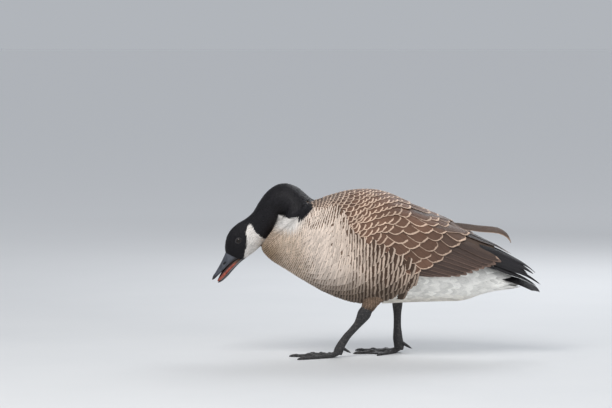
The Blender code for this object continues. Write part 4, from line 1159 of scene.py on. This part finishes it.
def wing_quills(side, rng):
    batches = []
    tips = smooth_rows(SECONDARY_TIPS, 4)
    count = 11
    for k in range(count):
        t = k / (count - 1)
        tip = tips[round(t * (len(tips) - 1))]
        root = np.array(SECONDARY_ROOTS[0]) * (1 - t) + np.array(SECONDARY_ROOTS[1]) * t
        layer = -3.2 + 2.8 * t
        look = quill_look((0.085, 0.052, 0.040), (0.22, 0.14, 0.105), 0.11)
        batches.append(
            laid_between(side, root, tip, 19, (layer - 1.0, layer, layer + 0.3), rng, look, roundness=2.2,
                         root=0.8,
                         ragged=0.004, camber=0.04, patch=0.02, tilt=side * 0.14)
        )
    brown = quill_look((0.11, 0.068, 0.05), (0.60, 0.42, 0.31), 0.10)
    light = quill_look((0.16, 0.095, 0.065), (0.56, 0.36, 0.25), 0.10)
    dark = quill_look((0.030, 0.022, 0.021), (0.30, 0.18, 0.125), 0.12)
    tertials = (
        ((120, 254), (242, 196), 19, (-2.6, -1.2, -0.4), brown),
        ((136, 262), (262, 210), 15, (-2.0, -0.2, 0.4), dark),
        ((140, 270), (266, 216), 11, (-1.4, 0.6, 1.6), dark),
        ((90, 262), (184, 246), 27, (-1, 1.0, 2.0), brown),
        ((70, 292), (150, 268), 25, (-1, 1.2, 2.4), brown),
    )
    for root, tip, width, lifts, look in tertials:
        batches.append(laid_between(side, root, tip, width, lifts, rng, look, roundness=2.0, root=0.8,
                                    ragged=0.006,
                                    camber=0.08, patch=0.02, tilt=side * 0.06))
    black = quill_look((0.012, 0.010, 0.012), (0.03, 0.024, 0.024), 0.08)
    primaries = (
        ((205, 222), (316, 168), 17, (-2.0, -0.2, 0.6)),
        ((205, 214), (312, 165), 15, (-2.6, -1.0, -0.4)),
        ((205, 208), (300, 166), 14, (-3.2, -1.8, -1.2)),
        ((225, 196), (327, 143), 6, (-4.0, -2.6, -2.0)),
        ((220, 190), (318, 139), 5, (-4.6, -3.4, -3.0)),
    )
    for root, tip, width, lifts in primaries:
        batches.append(laid_between(side, root, tip, width, lifts, rng, black, roundness=1.6, root=0.85,
                                    ragged=0.002,
                                    camber=0.12, patch=0.02))
    return batches


def curled_feather(rng):
    """The one long feather of the left wing that stands off the back and curls down at its end."""
    rows = smooth_rows(CURL_LINE, 8) * MM
    arc = lengths_along(rows)
    line = resampled(rows, arc, np.arange(0, arc[-1], SHEET_STEP))
    spread = np.array(CURL_SPREAD) / np.linalg.norm(CURL_SPREAD)
    grid = line[:, None] + spread * (np.arange(-15, 16) * MM)[None, :, None]
    surface = sheet(grid)
    look = quill_look((0.10, 0.062, 0.044), (0.34, 0.23, 0.16), 0.14)
    length = arc[-1] - 3 * MM
    return lay(surface, "quill", [len(line) - 2.0], [15.0], [0.0], [length], [15 * MM], (0.0, 0.0, 0.0), rng,
               look=look, roundness=2.6, root=0.75, ragged=0.01, camber=0.16, patch=0.02)


# The middle line of the curled feather and the way its vane spreads, in mm
CURL_LINE = (
    (138, -15, 264), (158, -15, 262), (180, -15, 259), (202, -15.5, 255.5), (224, -16, 254),
    (240, -16.5, 252),
    (252, -17, 247), (261, -17.5, 240), (266, -18, 231), (267, -18, 224),
)
CURL_SPREAD = (0, -0.78, -0.62)
WING_PAD = ((-74, -40, 0, 40, 70, 150, 236), (56, 48, 30, 12, 4, 3, 3), (300, 262, 232, 208, 182, 170, 184))
PAD_THICKNESS = 4.5 * MM


def wing_pad(side):
    """The folded arm: a thin closed pad under the feathers."""
    bm = bmesh.new()
    columns, rows = 44, 16
    bmesh.ops.create_grid(bm, x_segments=columns, y_segments=rows, size=0.5)
    xs, upper, lower = (np.array(a, float) for a in WING_PAD)
    for vert in bm.verts:
        x = xs[0] + (xs[-1] - xs[0]) * (vert.co.x + 0.5)
        share = vert.co.y + 0.5
        u, v = back_place([x], [np.interp(x, xs, lower)], side)
        top = BACK_HALF + side * np.interp(x, xs, upper) * MM / BACK_STEP
        place, normal, _, _ = back.read(u, top + (v - top) * share)
        vert.co = Vector(place[0] - normal[0] * 3.4 * MM)
    bmesh.ops.recalc_face_normals(bm, faces=bm.faces)
    middle = sum((vert.co for vert in bm.verts), Vector()) / len(bm.verts)
    face = max(bm.faces, key=lambda f: abs(f.calc_center_median().y))
    if face.normal.dot(face.calc_center_median() - Vector((middle.x, 0, middle.z))) < 0:
        bmesh.ops.reverse_faces(bm, faces=bm.faces)
    bmesh.ops.solidify(bm, geom=bm.faces[:], thickness=PAD_THICKNESS)
    return object_from(f"wing_pad_{'left' if side > 0 else 'right'}", bm)


def pad_material():
    """The dark brown down of the folded arm."""
    material, w, shader = new_finish("wing_down")
    fluff = w.noise(600.0, 4.0, 0.7)
    w.put(shader.inputs["Base Color"], w.blend(fluff, (0.05, 0.034, 0.027, 1), (0.13, 0.085, 0.06, 1)))
    w.relief(shader, fluff, 0.6, 0.5 * MM)
    shader.inputs["Roughness"].default_value = 0.85
    return material


wing_down = pad_material()
for side, word, seed in ((1, "left", 51), (-1, "right", 52)):
    rng = np.random.default_rng(seed)
    rows = wing_rows(side, rng)
    if side > 0:
        rows.append(ridge_feathers(np.random.default_rng(53)))
    coverts = feather_object(f"coat_wing_{word}", rows, wing_plumage)
    long_feathers = wing_quills(side, rng)
    if side > 0:
        long_feathers.append(curled_feather(rng))
    feather_object(f"quills_wing_{word}", long_feathers, quill_plumage)
    pad = wing_pad(side)
    pad.data.materials.append(wing_down)
    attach(pad, "root")
    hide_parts(f"wing_{word}")

# --------------------------------------------------------------------------------------------------------
# The tail: eighteen black feathers closed in a narrow fan, the middle pair on top, under white coverts.

# The line of the middle feathers in mm, and how far a feather 32 mm out hangs below it
TAIL_LINE = ((222, 171), (236, 166.5), (250, 162), (277, 155.5), (300, 147), (316, 138), (330, 126),
             (340, 116))
TAIL_DROOP, TAIL_DROOP_AT = 9 * MM, 32 * MM
TAIL_PAIRS, TAIL_MIDDLE = 9, 30
TAIL_FAN = math.radians(10)
TAIL_LENGTH, TAIL_WIDTH = 112, 15.5 * MM


def tail_surface():
    line = smooth_rows(TAIL_LINE, 12) * MM
    arc = lengths_along(line)
    at = np.arange(0, arc[-1], SHEET_STEP)
    x, z = (np.interp(at, arc, line[:, k]) for k in (0, 1))
    out = np.linspace(-60, 60, 61) * MM
    droop = TAIL_DROOP * (np.abs(out) / TAIL_DROOP_AT) ** 1.6
    grid = np.stack(np.broadcast_arrays(x[:, None], out[None], z[:, None] - droop[None]), -1)
    return sheet(grid)


def tail_piece():
    rng = np.random.default_rng(61)
    surface = tail_surface()
    black = quill_look((0.010, 0.0085, 0.010), (0.03, 0.025, 0.025), 0.07)
    batches = []
    for k in range(TAIL_PAIRS):
        for side in (-1, 1):
            share = (k + 0.35) / 8.5
            length = (TAIL_LENGTH - 2 * abs(share - 0.35) * 14) * MM
            turn = TAIL_FAN * share * side
            u = length * math.cos(turn) / SHEET_STEP + 1
            v = TAIL_MIDDLE + side * (share * 8 * MM + length * math.sin(abs(turn))) / SHEET_STEP
            layer = (0.9 - 0.62 * k + 0.2 * (side > 0)) * MM
            batches.append(
                lay(surface, "quill", [u], [v], [turn], [length], [TAIL_WIDTH], (layer, layer, layer), rng,
                    look=black,
                    roundness=2.3, root=0.6, ragged=0.004, camber=0.08, patch=0.03, skew=side * 0.25)
            )
    return feather_object("tail_feathers", batches, quill_plumage)


tail = tail_piece()
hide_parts("tail")

# --------------------------------------------------------------------------------------------------------
# The bill: two horny halves, a little open, slate with a darker nail at the tip and a slit nostril each
# side, and the tongue between them.

UPPER_BILL = (
    (-300, 210, -270, 195.5, 12.5, 0.66, 2.2), (-302, 206, -274, 193.5, 12.8, 0.70, 2.3),
    (-306, 197, -285.5, 187.5, 12.4, 0.78, 2.3), (-311, 186.5, -298, 178.5, 11.2, 0.84, 2.3),
    (-317, 175.5, -309, 168, 10.2, 0.86, 2.3), (-323.5, 164.5, -318, 159, 9.6, 0.80, 2.3),
    (-326.7, 158.5, -322.3, 154.4, 8.0, 0.74, 2.2), (-328.2, 154.2, -325.6, 151.6, 4.6, 0.65, 2.0),
    (-328.5, 151.4, -327.8, 150.8, 1.0, 0.5, 2.0),
)
LOWER_BILL = (
    (-268, 196, -263, 193.5, 10.2, 0.35, 2.1), (-272, 192.5, -268, 190, 10.5, 0.30, 2.3),
    (-280.5, 185, -277, 182, 10.2, 0.30, 2.3), (-291, 174, -287.5, 170.5, 9.2, 0.28, 2.3),
    (-301.3, 162, -298, 158.5, 8, 0.28, 2.3), (-311, 152.5, -308, 149.5, 6.6, 0.30, 2.3),
    (-315.5, 148.2, -313.5, 146.4, 4.2, 0.34, 2.1), (-317.6, 145.6, -317.0, 145.0, 1.0, 0.5, 2.0),
)
TONGUE = (
    (-271, 201, -267.5, 194.5, 4.5, 0.5, 2.2), (-278, 196, -272.5, 188.5, 7.4, 0.5, 2.4),
    (-287, 190.5, -278, 182, 9.2, 0.5, 2.5), (-295.5, 184, -286.5, 174.5, 8.6, 0.5, 2.6),
    (-303, 176.5, -295, 166, 7.6, 0.5, 2.6), (-309, 168.5, -302.5, 158, 6.6, 0.5, 2.6),
    (-314, 160, -308.5, 152.2, 5.4, 0.5, 2.4), (-317, 153.5, -313.6, 148.8, 3.6, 0.5, 2.2),
    (-318.6, 149.6, -317.2, 147.4, 1.2, 0.5, 2.0),
)
NOSTRIL = Vector((-304, 0, 185)) * MM
NOSTRIL_LINE = Vector((-0.69, 0, -0.724))
NOSTRIL_LENGTH, NOSTRIL_HEIGHT = 4.4 * MM, 1.7 * MM
MOUTH_NORMAL = (-0.715, 0.70)
BILL_STEPS, BILL_SIDES = 12, 96


def across_bill(w, x_out, z_out):
    """Distance across the bill, square to the line of the mouth, in metres."""
    x = w.times(w.minus(x_out, SHIFT.x), MOUTH_NORMAL[0])
    return w.scaled(z_out, MOUTH_NORMAL[1], x)


def horn_material(name, body, worn, nail_from, roughness, edge=None, nostril=False):
    """Horn: slate, darker at the nail, with growth lines along the bill.

    edge: where across the bill the band along the mouth starts and ends, in mm, and its colour.
    """
    material, w, shader = new_finish(name)
    place = w.place()
    x_out, _, z_out = w.split(place)
    streak = w.noise(260.0, 4.0, 0.6, place, (0.35, 1.6, 0.35))
    fine = w.noise(1500.0, 2.0, 0.6, place)
    scuffs = w.rise(w.noise(420.0, 5.0, 0.7, place, (1.0, 1.0, 0.4)), 0.60, 0.72)
    colour = w.blend(w.rise(streak, 0.35, 0.75), (*body, 1), (*worn, 1))
    colour = w.blend(w.times(scuffs, 0.35), colour, (0.16, 0.16, 0.17, 1))
    if edge:
        start, end, shade = edge
        colour = w.blend(w.rise(across_bill(w, x_out, z_out), start * MM, end * MM), colour, (*shade, 1))
    nail = w.rise(z_out, nail_from + 0.004, nail_from)
    colour = w.blend(nail, colour, (0.010, 0.009, 0.011, 1))
    # painted shade: the nostril opening is coloured near black for the dark inside the hole
    if nostril:
        x = w.minus(x_out, NOSTRIL.x + SHIFT.x)
        z = w.minus(z_out, NOSTRIL.z)
        line = NOSTRIL_LINE
        along = w.scaled(x, line.x / NOSTRIL_LENGTH, w.times(z, line.z / NOSTRIL_LENGTH))
        over = w.scaled(x, -line.z / NOSTRIL_HEIGHT, w.times(z, line.x / NOSTRIL_HEIGHT))
        out = w.plus(w.times(along, along), w.times(over, over))
        inside = w.minus(1.0, w.rise(out, 0.45, 1.1))
        colour = w.blend(inside, colour, (0.002, 0.002, 0.002, 1))
    w.put(shader.inputs["Base Color"], colour)
    w.put(shader.inputs["Roughness"], w.scaled(fine, 0.25, roughness - 0.1))
    w.relief(shader, w.scaled(fine, 0.4, streak), 0.35, 0.25 * MM)
    shader.inputs["Coat Weight"].default_value = 0.12
    shader.inputs["Coat Roughness"].default_value = 0.3
    return material


def shape_upper_bill(bm):
    """Sinks the nostrils, presses a groove across the bill before them and raises the nail."""
    over_line = Vector((-NOSTRIL_LINE.z, 0, NOSTRIL_LINE.x))
    for vert in bm.verts:
        away = vert.co - NOSTRIL
        along, over = away.dot(NOSTRIL_LINE), away.dot(over_line)
        side = math.copysign(1, vert.co.y)
        hollow = 1 - float(ease(math.hypot(along / (8.5 * MM), over / (4.0 * MM)), 0.2, 1.1))
        inside = 1 - float(ease(math.hypot(along / NOSTRIL_LENGTH, over / NOSTRIL_HEIGHT), 0.55, 1.1))
        groove = math.exp(-(((vert.co.z + 0.3 * vert.co.x - 0.0795) / (1.6 * MM)) ** 2))
        depth = min((0.7 * hollow + 2.2 * inside + 0.35 * groove) * MM, abs(vert.co.y) * 0.6)
        vert.co.y -= side * depth
        nail = float(ease(-vert.co.z, -165 * MM, -161 * MM)) * float(ease(-abs(vert.co.y), -6 * MM,
                                                                          -4.6 * MM))
        vert.co += Vector((-0.8, 0, 0.3)) * 0.7 * MM * nail


bill_horn = horn_material("bill_slate", (0.030, 0.033, 0.043), (0.085, 0.092, 0.112), 158 * MM, 0.38,
                           (341.2, 339.8, (0.010, 0.010, 0.012)), nostril=True)
lower_horn = horn_material("bill_black", (0.012, 0.012, 0.014), (0.035, 0.034, 0.038), 149 * MM, 0.45,
                           (326.6, 328.4, (0.16, 0.16, 0.165)))


def bill_half(name, node, rows, material, shape=None):
    bm = bmesh.new()
    lofted(bm, section_rings(smooth_rows(rows, BILL_STEPS), BILL_SIDES))
    if shape:
        shape(bm)
    piece = object_from(name, bm)
    piece.data.materials.append(material)
    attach(piece, "root")
    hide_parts(node)
    return piece


bill_half("upper_bill", "bill_upper", UPPER_BILL, bill_horn, shape_upper_bill)
bill_half("lower_bill", "bill_lower", LOWER_BILL, lower_horn)


def tongue_material():
    """Wet flesh: the orange-red tongue, with painted shadow along its top and painted shade at the mouth's
    corner.
    """
    material, w, shader = new_finish("tongue_flesh")
    blotch = w.noise(180.0, 3.0)
    x_out, _, z_out = w.split(w.place())
    colour = w.blend(w.rise(blotch, 0.35, 0.7), (0.24, 0.030, 0.016, 1), (0.46, 0.10, 0.05, 1))
    # painted shadow of the upper bill: dark along the top of the tongue
    colour = w.blend(w.rise(across_bill(w, x_out, z_out), 332.5 * MM, 335.5 * MM), colour,
                     (0.030, 0.010, 0.009, 1))
    # painted shade, dark brown, towards the corner of the mouth
    corner = w.rise(z_out, 180 * MM, 190 * MM)
    w.put(shader.inputs["Base Color"], w.blend(corner, colour, (0.085, 0.034, 0.014, 1)))
    spots = w.node("ShaderNodeTexVoronoi")
    spots.inputs["Scale"].default_value = 1100.0
    w.put(spots.inputs["Vector"], w.place())
    w.relief(shader, spots.outputs["Distance"], 0.4, 0.3 * MM)
    shader.inputs["Roughness"].default_value = 0.35
    shader.inputs["Coat Weight"].default_value = 0.5
    shader.inputs["Coat Roughness"].default_value = 0.15
    return material


bill_half("mouth_flesh", "tongue", TONGUE, tongue_material())

# --------------------------------------------------------------------------------------------------------
# Eyes: dark brown and wet, each in a ring of bare lid skin that lies on the ball and meets the feathers.

def eye_material():
    """A dark brown iris round a black pupil, under a clear wet front."""
    material, w, shader = new_finish("eye_wet")
    place = w.place()
    x_out, _, z_out = w.split(place)
    x = w.minus(x_out, EYE_X + SHIFT.x - 0.3 * MM)
    z = w.minus(z_out, EYE_HEIGHT)
    out = w.maths("SQRT", w.plus(w.times(x, x), w.times(z, z)))
    iris = w.rise(out, 2.3 * MM, 2.6 * MM)
    rays = w.noise(1400.0, 2.0)
    brown = w.blend(rays, (0.006, 0.003, 0.002, 1), (0.018, 0.008, 0.004, 1))
    colour = w.blend(iris, (0.001, 0.001, 0.001, 1), brown)
    rim = w.rise(out, 3.6 * MM, 4.8 * MM)
    w.put(shader.inputs["Base Color"], w.blend(rim, colour, (0.006, 0.004, 0.003, 1)))
    shader.inputs["Roughness"].default_value = 0.3
    shader.inputs["Specular IOR Level"].default_value = 0.2
    shader.inputs["Coat Weight"].default_value = 0.7
    shader.inputs["Coat IOR"].default_value = 1.33
    shader.inputs["Coat Roughness"].default_value = 0.02
    return material


def lid_material():
    """Bare black skin with fine wrinkles."""
    material, w, shader = new_finish("lid_skin")
    wrinkle = w.noise(1200.0, 4.0, 0.6)
    w.put(shader.inputs["Base Color"], w.blend(wrinkle, (0.008, 0.007, 0.008, 1), (0.035, 0.032, 0.034, 1)))
    w.relief(shader, wrinkle, 0.5, 0.2 * MM)
    shader.inputs["Roughness"].default_value = 0.5
    return material


eye_wet, lid_skin = eye_material(), lid_material()
LID_THICKNESS = 0.5 * MM
LID_FORWARD, LID_UP = Vector((-EYE_LINE[0], 0, -EYE_LINE[1])), Vector((-EYE_LINE[1], 0, EYE_LINE[0]))
# The lid from the ball outwards, in mm: half-length and half-height of each loop, how far out from the
# middle of the eye it stands, and how much further out its upper edge, the brow, stands
LID_LOOPS = (
    (5.3, 3.9, 4.2, 0.0), (5.4, 4.0, 5.0, 0.1), (5.7, 4.3, 5.45, 0.3), (6.1, 4.7, 5.4, 0.5),
    (6.7, 5.3, 4.9, 0.6),
    (7.6, 6.2, 4.0, 0.3), (8.6, 7.2, 2.6, 0.0),
)


def lid_rings(centre, side):
    """Loops drawn to a point at the front and back corners of the eye."""
    rings = []
    for long, high, proud, brow in LID_LOOPS:
        ring = []
        for k in range(48):
            angle = math.tau * k / 48
            along, over = math.cos(angle), math.sin(angle)
            over *= 1 - 0.16 * abs(along) ** 3
            point = centre + LID_FORWARD * along * long * MM + LID_UP * over * high * MM
            ring.append(point + Vector((0, side, 0)) * (proud + brow * max(over, 0)) * MM)
        rings.append(ring)
    return rings


for side, word in ((-1, "left"), (1, "right")):
    centre = Vector((EYE_X, side * EYE_SIDE, EYE_HEIGHT))
    bm = bmesh.new()
    bmesh.ops.create_uvsphere(bm, u_segments=48, v_segments=32, radius=EYE_RADIUS)
    bmesh.ops.translate(bm, vec=centre, verts=bm.verts)
    eye = object_from(f"eyeball_{word}", bm)
    eye.data.materials.append(eye_wet)
    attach(eye, "root")
    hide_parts(f"eye_{word}")
    bm = bmesh.new()
    lofted(bm, lid_rings(centre, side), capped=False)
    lid = object_from(f"lids_{word}", bm)
    shell = lid.modifiers.new("Thickness", "SOLIDIFY")
    shell.thickness = LID_THICKNESS
    shell.offset = -1
    smooth = lid.modifiers.new("Round", "SUBSURF")
    smooth.levels = smooth.render_levels = 1
    lid.data.materials.append(lid_skin)
    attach(lid, "root")

# --------------------------------------------------------------------------------------------------------
# Legs and webbed feet: bare, scaly black skin over the bone, one piece a side from the feathered thigh down
# to the toes. The toes are drawn out of the ankle, and the webs hang between them.

LEGS = {
    "left": (-42, ((-19.5, 98, 12), (-22, 94, 12.3), (-26.5, 86, 13.4), (-33, 75, 10.4), (-40, 65, 7.9),
                   (-50.5, 53, 7.1),
                   (-59.5, 43, 7.3), (-66.5, 33, 7.9), (-71, 26, 8.4), (-75, 18, 9.1), (-77.5, 11, 9.4),
                   (-78.5, 6, 8.4)),
             (-78, -42), -4),
    "right": (42, ((42.5, 108, 11), (42.5, 103, 10.8), (42.5, 92, 9.7), (42.5, 80, 8.1), (42.5, 66, 7.6),
                   (42.5, 52, 7.8),
                   (43, 40, 8.9), (43.5, 29, 9.9), (45, 20, 10), (46, 11, 9.8), (45.5, 6, 8.8)),
              (46, 42), -16),
}
TOES = {"inner": (-37, 0.76, 5.0, 3.3), "middle": (-2, 1.0, 5.6, 3.4), "outer": (32, 0.93, 5.2, 3.3)}
MIDDLE_TOE = 87
TOE_SINK = 0.9
HALLUX_ROOT, HALLUX_TIP, HIND_CLAW = (5, -2, 21), (20, -5, 12), (15, -3, -9.0)
CLAW_LENGTH, CLAW_RADIUS, HIND_CLAW_LENGTH = 11, 2.9, 7
WEB_THICKNESS = 1.5 * MM


class Foot:
    """One webbed foot on the floor, in mm. side is -1 on the bird's left."""

    def __init__(self, side, joint, heading):
        self.side, self.joint, self.heading = side, np.array((*joint, 0.0)), heading

    def mirrored(self, place):
        return np.array((place[0], self.side * place[1], place[2]))

    def direction(self, turn):
        angle = math.radians(self.heading + turn)
        return np.array((-math.cos(angle), self.side * math.sin(angle), 0))

    def toe_radius(self, toe, share):
        turn, length, root, tip = TOES[toe]
        knuckle = 0.55 * math.cos(share * math.tau * 3) + 0.25 * math.cos(share * math.tau * 6)
        return root + (tip - root) * share + knuckle

    def toe_point(self, toe, share):
        turn, length, root, tip = TOES[toe]
        rise = 4.5 * max(0, 1 - share * 3.2) ** 2
        flat = self.joint + self.direction(turn) * (MIDDLE_TOE * length * share)
        return flat + np.array((0, 0, self.toe_radius(toe, share) - TOE_SINK + rise))

    def toe_rings(self, toe):
        across = np.cross(self.direction(TOES[toe][0]), (0, 0, 1))
        rings = []
        for share in np.linspace(0, 1, 34):
            blunt = math.sqrt(max(0.12, 1 - max(0, share - 0.95) ** 2 / 0.0028))
            radius = self.toe_radius(toe, share) * blunt
            angle = np.linspace(0, math.tau, 18, endpoint=False)[:, None]
            ring = self.toe_point(toe, share) + across * radius * np.cos(angle)
            rings.append((ring + np.array((0, 0, 1)) * radius * np.sin(angle)) * MM)
        return rings

    def web(self, bm, first, second):
        """Adds the sheet between two toes, slack in the middle and hollow along its front edge."""
        made = bmesh.ops.create_grid(bm, x_segments=14, y_segments=18, size=0.5)["verts"]
        for vert in made:
            u, v = vert.co.x + 0.5, 0.1 + 0.9 * (vert.co.y + 0.5)
            reach = v * (0.93 - 0.62 * u * (1 - u))
            a, b = self.toe_point(first, reach), self.toe_point(second, reach)
            place = a + (b - a) * u
            slack = 4 * u * (1 - u)
            place[2] = place[2] * (1 - 0.45 * slack) + 0.35 * math.sin(u * 19) * v
            vert.co = Vector(place * MM)
        faces = list({face for vert in made for face in vert.link_faces})
        bmesh.ops.recalc_face_normals(bm, faces=faces)
        bmesh.ops.solidify(bm, geom=faces, thickness=WEB_THICKNESS)

    def hallux_rings(self):
        root, tip = (self.joint + self.mirrored(place) for place in (HALLUX_ROOT, HALLUX_TIP))
        return tapered(root, tip, (3.9, 3.6, 3.3, 2.9, 2.2), 14)


def tapered(root, tip, radii, sides, flatten=1.0):
    """Rings in metres along a straight line from root to tip, both in mm."""
    line = (tip - root) / np.linalg.norm(tip - root)
    across = np.cross(line, (0, 1, 0))
    across /= np.linalg.norm(across)
    third = np.cross(line, across)
    angle = np.linspace(0, math.tau, sides, endpoint=False)[:, None]
    rings = []
    for k, radius in enumerate(radii):
        middle = root + (tip - root) * k / (len(radii) - 1)
        rings.append((middle + across * radius * np.cos(angle) + third * radius * flatten * np.sin(angle))
                     * MM)
    return rings


def scale_material():
    """Black leathery skin in small scales, dusty in the creases between them."""
    material, w, shader = new_finish("leg_scales")
    place = w.place()
    cells = w.node("ShaderNodeTexVoronoi", feature="DISTANCE_TO_EDGE")
    cells.inputs["Scale"].default_value = 430.0
    stretched = w.node("ShaderNodeMapping")
    stretched.inputs["Scale"].default_value = (0.8, 0.7, 1.15)
    w.put(stretched.inputs["Vector"], place)
    w.put(cells.inputs["Vector"], stretched.outputs["Vector"])
    plate = w.rise(cells.outputs["Distance"], 0.02, 0.22)
    patchy = w.noise(90.0, 4.0)
    skin_tone = w.blend(patchy, (0.016, 0.015, 0.017, 1), (0.050, 0.047, 0.050, 1))
    dust = w.rise(w.noise(260.0, 3.0), 0.45, 0.75)
    crease = w.blend(dust, (0.006, 0.006, 0.006, 1), (0.10, 0.09, 0.08, 1))
    w.put(shader.inputs["Base Color"], w.blend(plate, crease, skin_tone))
    w.relief(shader, plate, 0.8, 0.35 * MM)
    w.put(shader.inputs["Roughness"], w.scaled(patchy, 0.2, 0.42))
    return material


leg_scales = scale_material()
claw_horn = horn_material("claw_horn", (0.012, 0.011, 0.012), (0.05, 0.045, 0.042), -1.0, 0.4)

for word, (y, rows, joint, heading) in LEGS.items():
    foot = Foot(-1 if y < 0 else 1, joint, heading)
    bm = bmesh.new()
    lofted(bm, limb_rings(smooth_rows(rows, 4), y, 28))
    for toe in TOES:
        lofted(bm, foot.toe_rings(toe))
    lofted(bm, foot.hallux_rings())
    foot.web(bm, "inner", "middle")
    foot.web(bm, "middle", "outer")
    leg = fused(object_from(f"leg_and_foot_{word}", bm), 1.0 * MM, 3, 0.4)
    for vert in leg.data.vertices:
        vert.co.z = max(vert.co.z, 0.0)
    leg.data.materials.clear()
    leg.data.materials.append(leg_scales)
    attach(leg, "root")
    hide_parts(f"leg_{word}", f"foot_{word}")
    bm = bmesh.new()
    for toe in TOES:
        forward = foot.direction(TOES[toe][0])
        across = np.cross(forward, (0, 0, 1))
        root = foot.toe_point(toe, 1.0)
        rings = []
        angle = np.linspace(0, math.tau, 14, endpoint=False)[:, None]
        for share in np.linspace(-0.12, 0.97, 9):
            radius = CLAW_RADIUS * math.sqrt(max(0.02, 1 - max(share, 0) ** 1.5))
            middle = root + forward * CLAW_LENGTH * share
            middle[2] = 3.0 - 1.7 * max(share, 0) ** 2
            rings.append((middle + across * radius * 0.8 * np.cos(angle) + np.array((0, 0, 1)) * radius
                          * np.sin(angle)) * MM)
        for ring in rings:
            ring[:, 2] = np.maximum(ring[:, 2], 0)
        lofted(bm, rings)
    tip, line = foot.joint + foot.mirrored(HALLUX_TIP), foot.mirrored(HIND_CLAW)
    line = line / np.linalg.norm(line)
    lofted(bm, tapered(tip - line, tip + line * HIND_CLAW_LENGTH, (2.3, 2.1, 1.5, 0.9, 0.3), 12))
    claws = object_from(f"claws_{word}", bm)
    claws.data.materials.append(claw_horn)
    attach(claws, "root")
    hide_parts(*(f"claw_{toe}_{word}" for toe in ("inner", "middle", "outer", "hind")))

# --------------------------------------------------------------------------------------------------------
# The floor, the light and the camera: a plain pale floor, soft light from above and a little in front, and
# the bird seen from its left side, slightly from above.

bm = bmesh.new()
bmesh.ops.create_grid(bm, x_segments=1, y_segments=1, size=30)
floor = object_from("floor", bm)
floor_finish, w, floor_shader = new_finish("floor_finish")
far_out = w.node("ShaderNodeVectorMath", operation="LENGTH")
w.put(far_out.inputs[0], w.place())
# pale near the bird, and paler far out, where it meets the background
floor_colour = w.blend(w.noise(3.0), (0.60, 0.61, 0.62, 1), (0.66, 0.665, 0.67, 1))
floor_colour = w.blend(w.rise(far_out.outputs["Value"], 0.8, 4.0), floor_colour, (0.97, 0.97, 0.97, 1))
w.put(floor_shader.inputs["Base Color"], floor_colour)
floor_shader.inputs["Roughness"].default_value = 0.8
floor.data.materials.append(floor_finish)


def area_light(name, place, target, size, power, colour):
    light = bpy.data.lights.new(name, "AREA")
    light.shape = "RECTANGLE"
    light.size, light.size_y = size
    light.energy = power
    light.color = colour
    holder = bpy.data.objects.new(name, light)
    holder.location = place
    holder.rotation_euler = (Vector(target) - Vector(place)).to_track_quat("-Z", "Y").to_euler()
    bpy.context.scene.collection.objects.link(holder)


area_light("key", (-0.9, -1.6, 2.2), (0, 0, 0.2), (1.4, 1.4), 46, (1.0, 0.98, 0.95))
area_light("fill", (1.6, -1.8, 1.0), (0, 0, 0.2), (1.6, 1.2), 12, (0.92, 0.96, 1.0))
area_light("rim", (0.6, 1.6, 1.6), (0, 0, 0.2), (1.2, 1.2), 22, (0.95, 0.97, 1.0))

world = bpy.data.worlds.new("studio")
bpy.context.scene.world = world
world.use_nodes = True
world.node_tree.nodes["Background"].inputs["Color"].default_value = (0.80, 0.84, 0.90, 1)
world.node_tree.nodes["Background"].inputs["Strength"].default_value = 0.55
bpy.context.scene.view_settings.view_transform = "Standard"

CAMERA_DOWN = 4.12
camera_data = bpy.data.cameras.new("camera")
camera_data.lens = 176.5
camera_data.sensor_width = 36
camera_data.clip_end = 100
camera = bpy.data.objects.new("camera", camera_data)
camera.location = Vector((-0.1415, -5.97, 0.733)) + SHIFT
camera.rotation_euler = (math.radians(90 - CAMERA_DOWN), 0, 0)
bpy.context.scene.collection.objects.link(camera)
bpy.context.scene.camera = camera
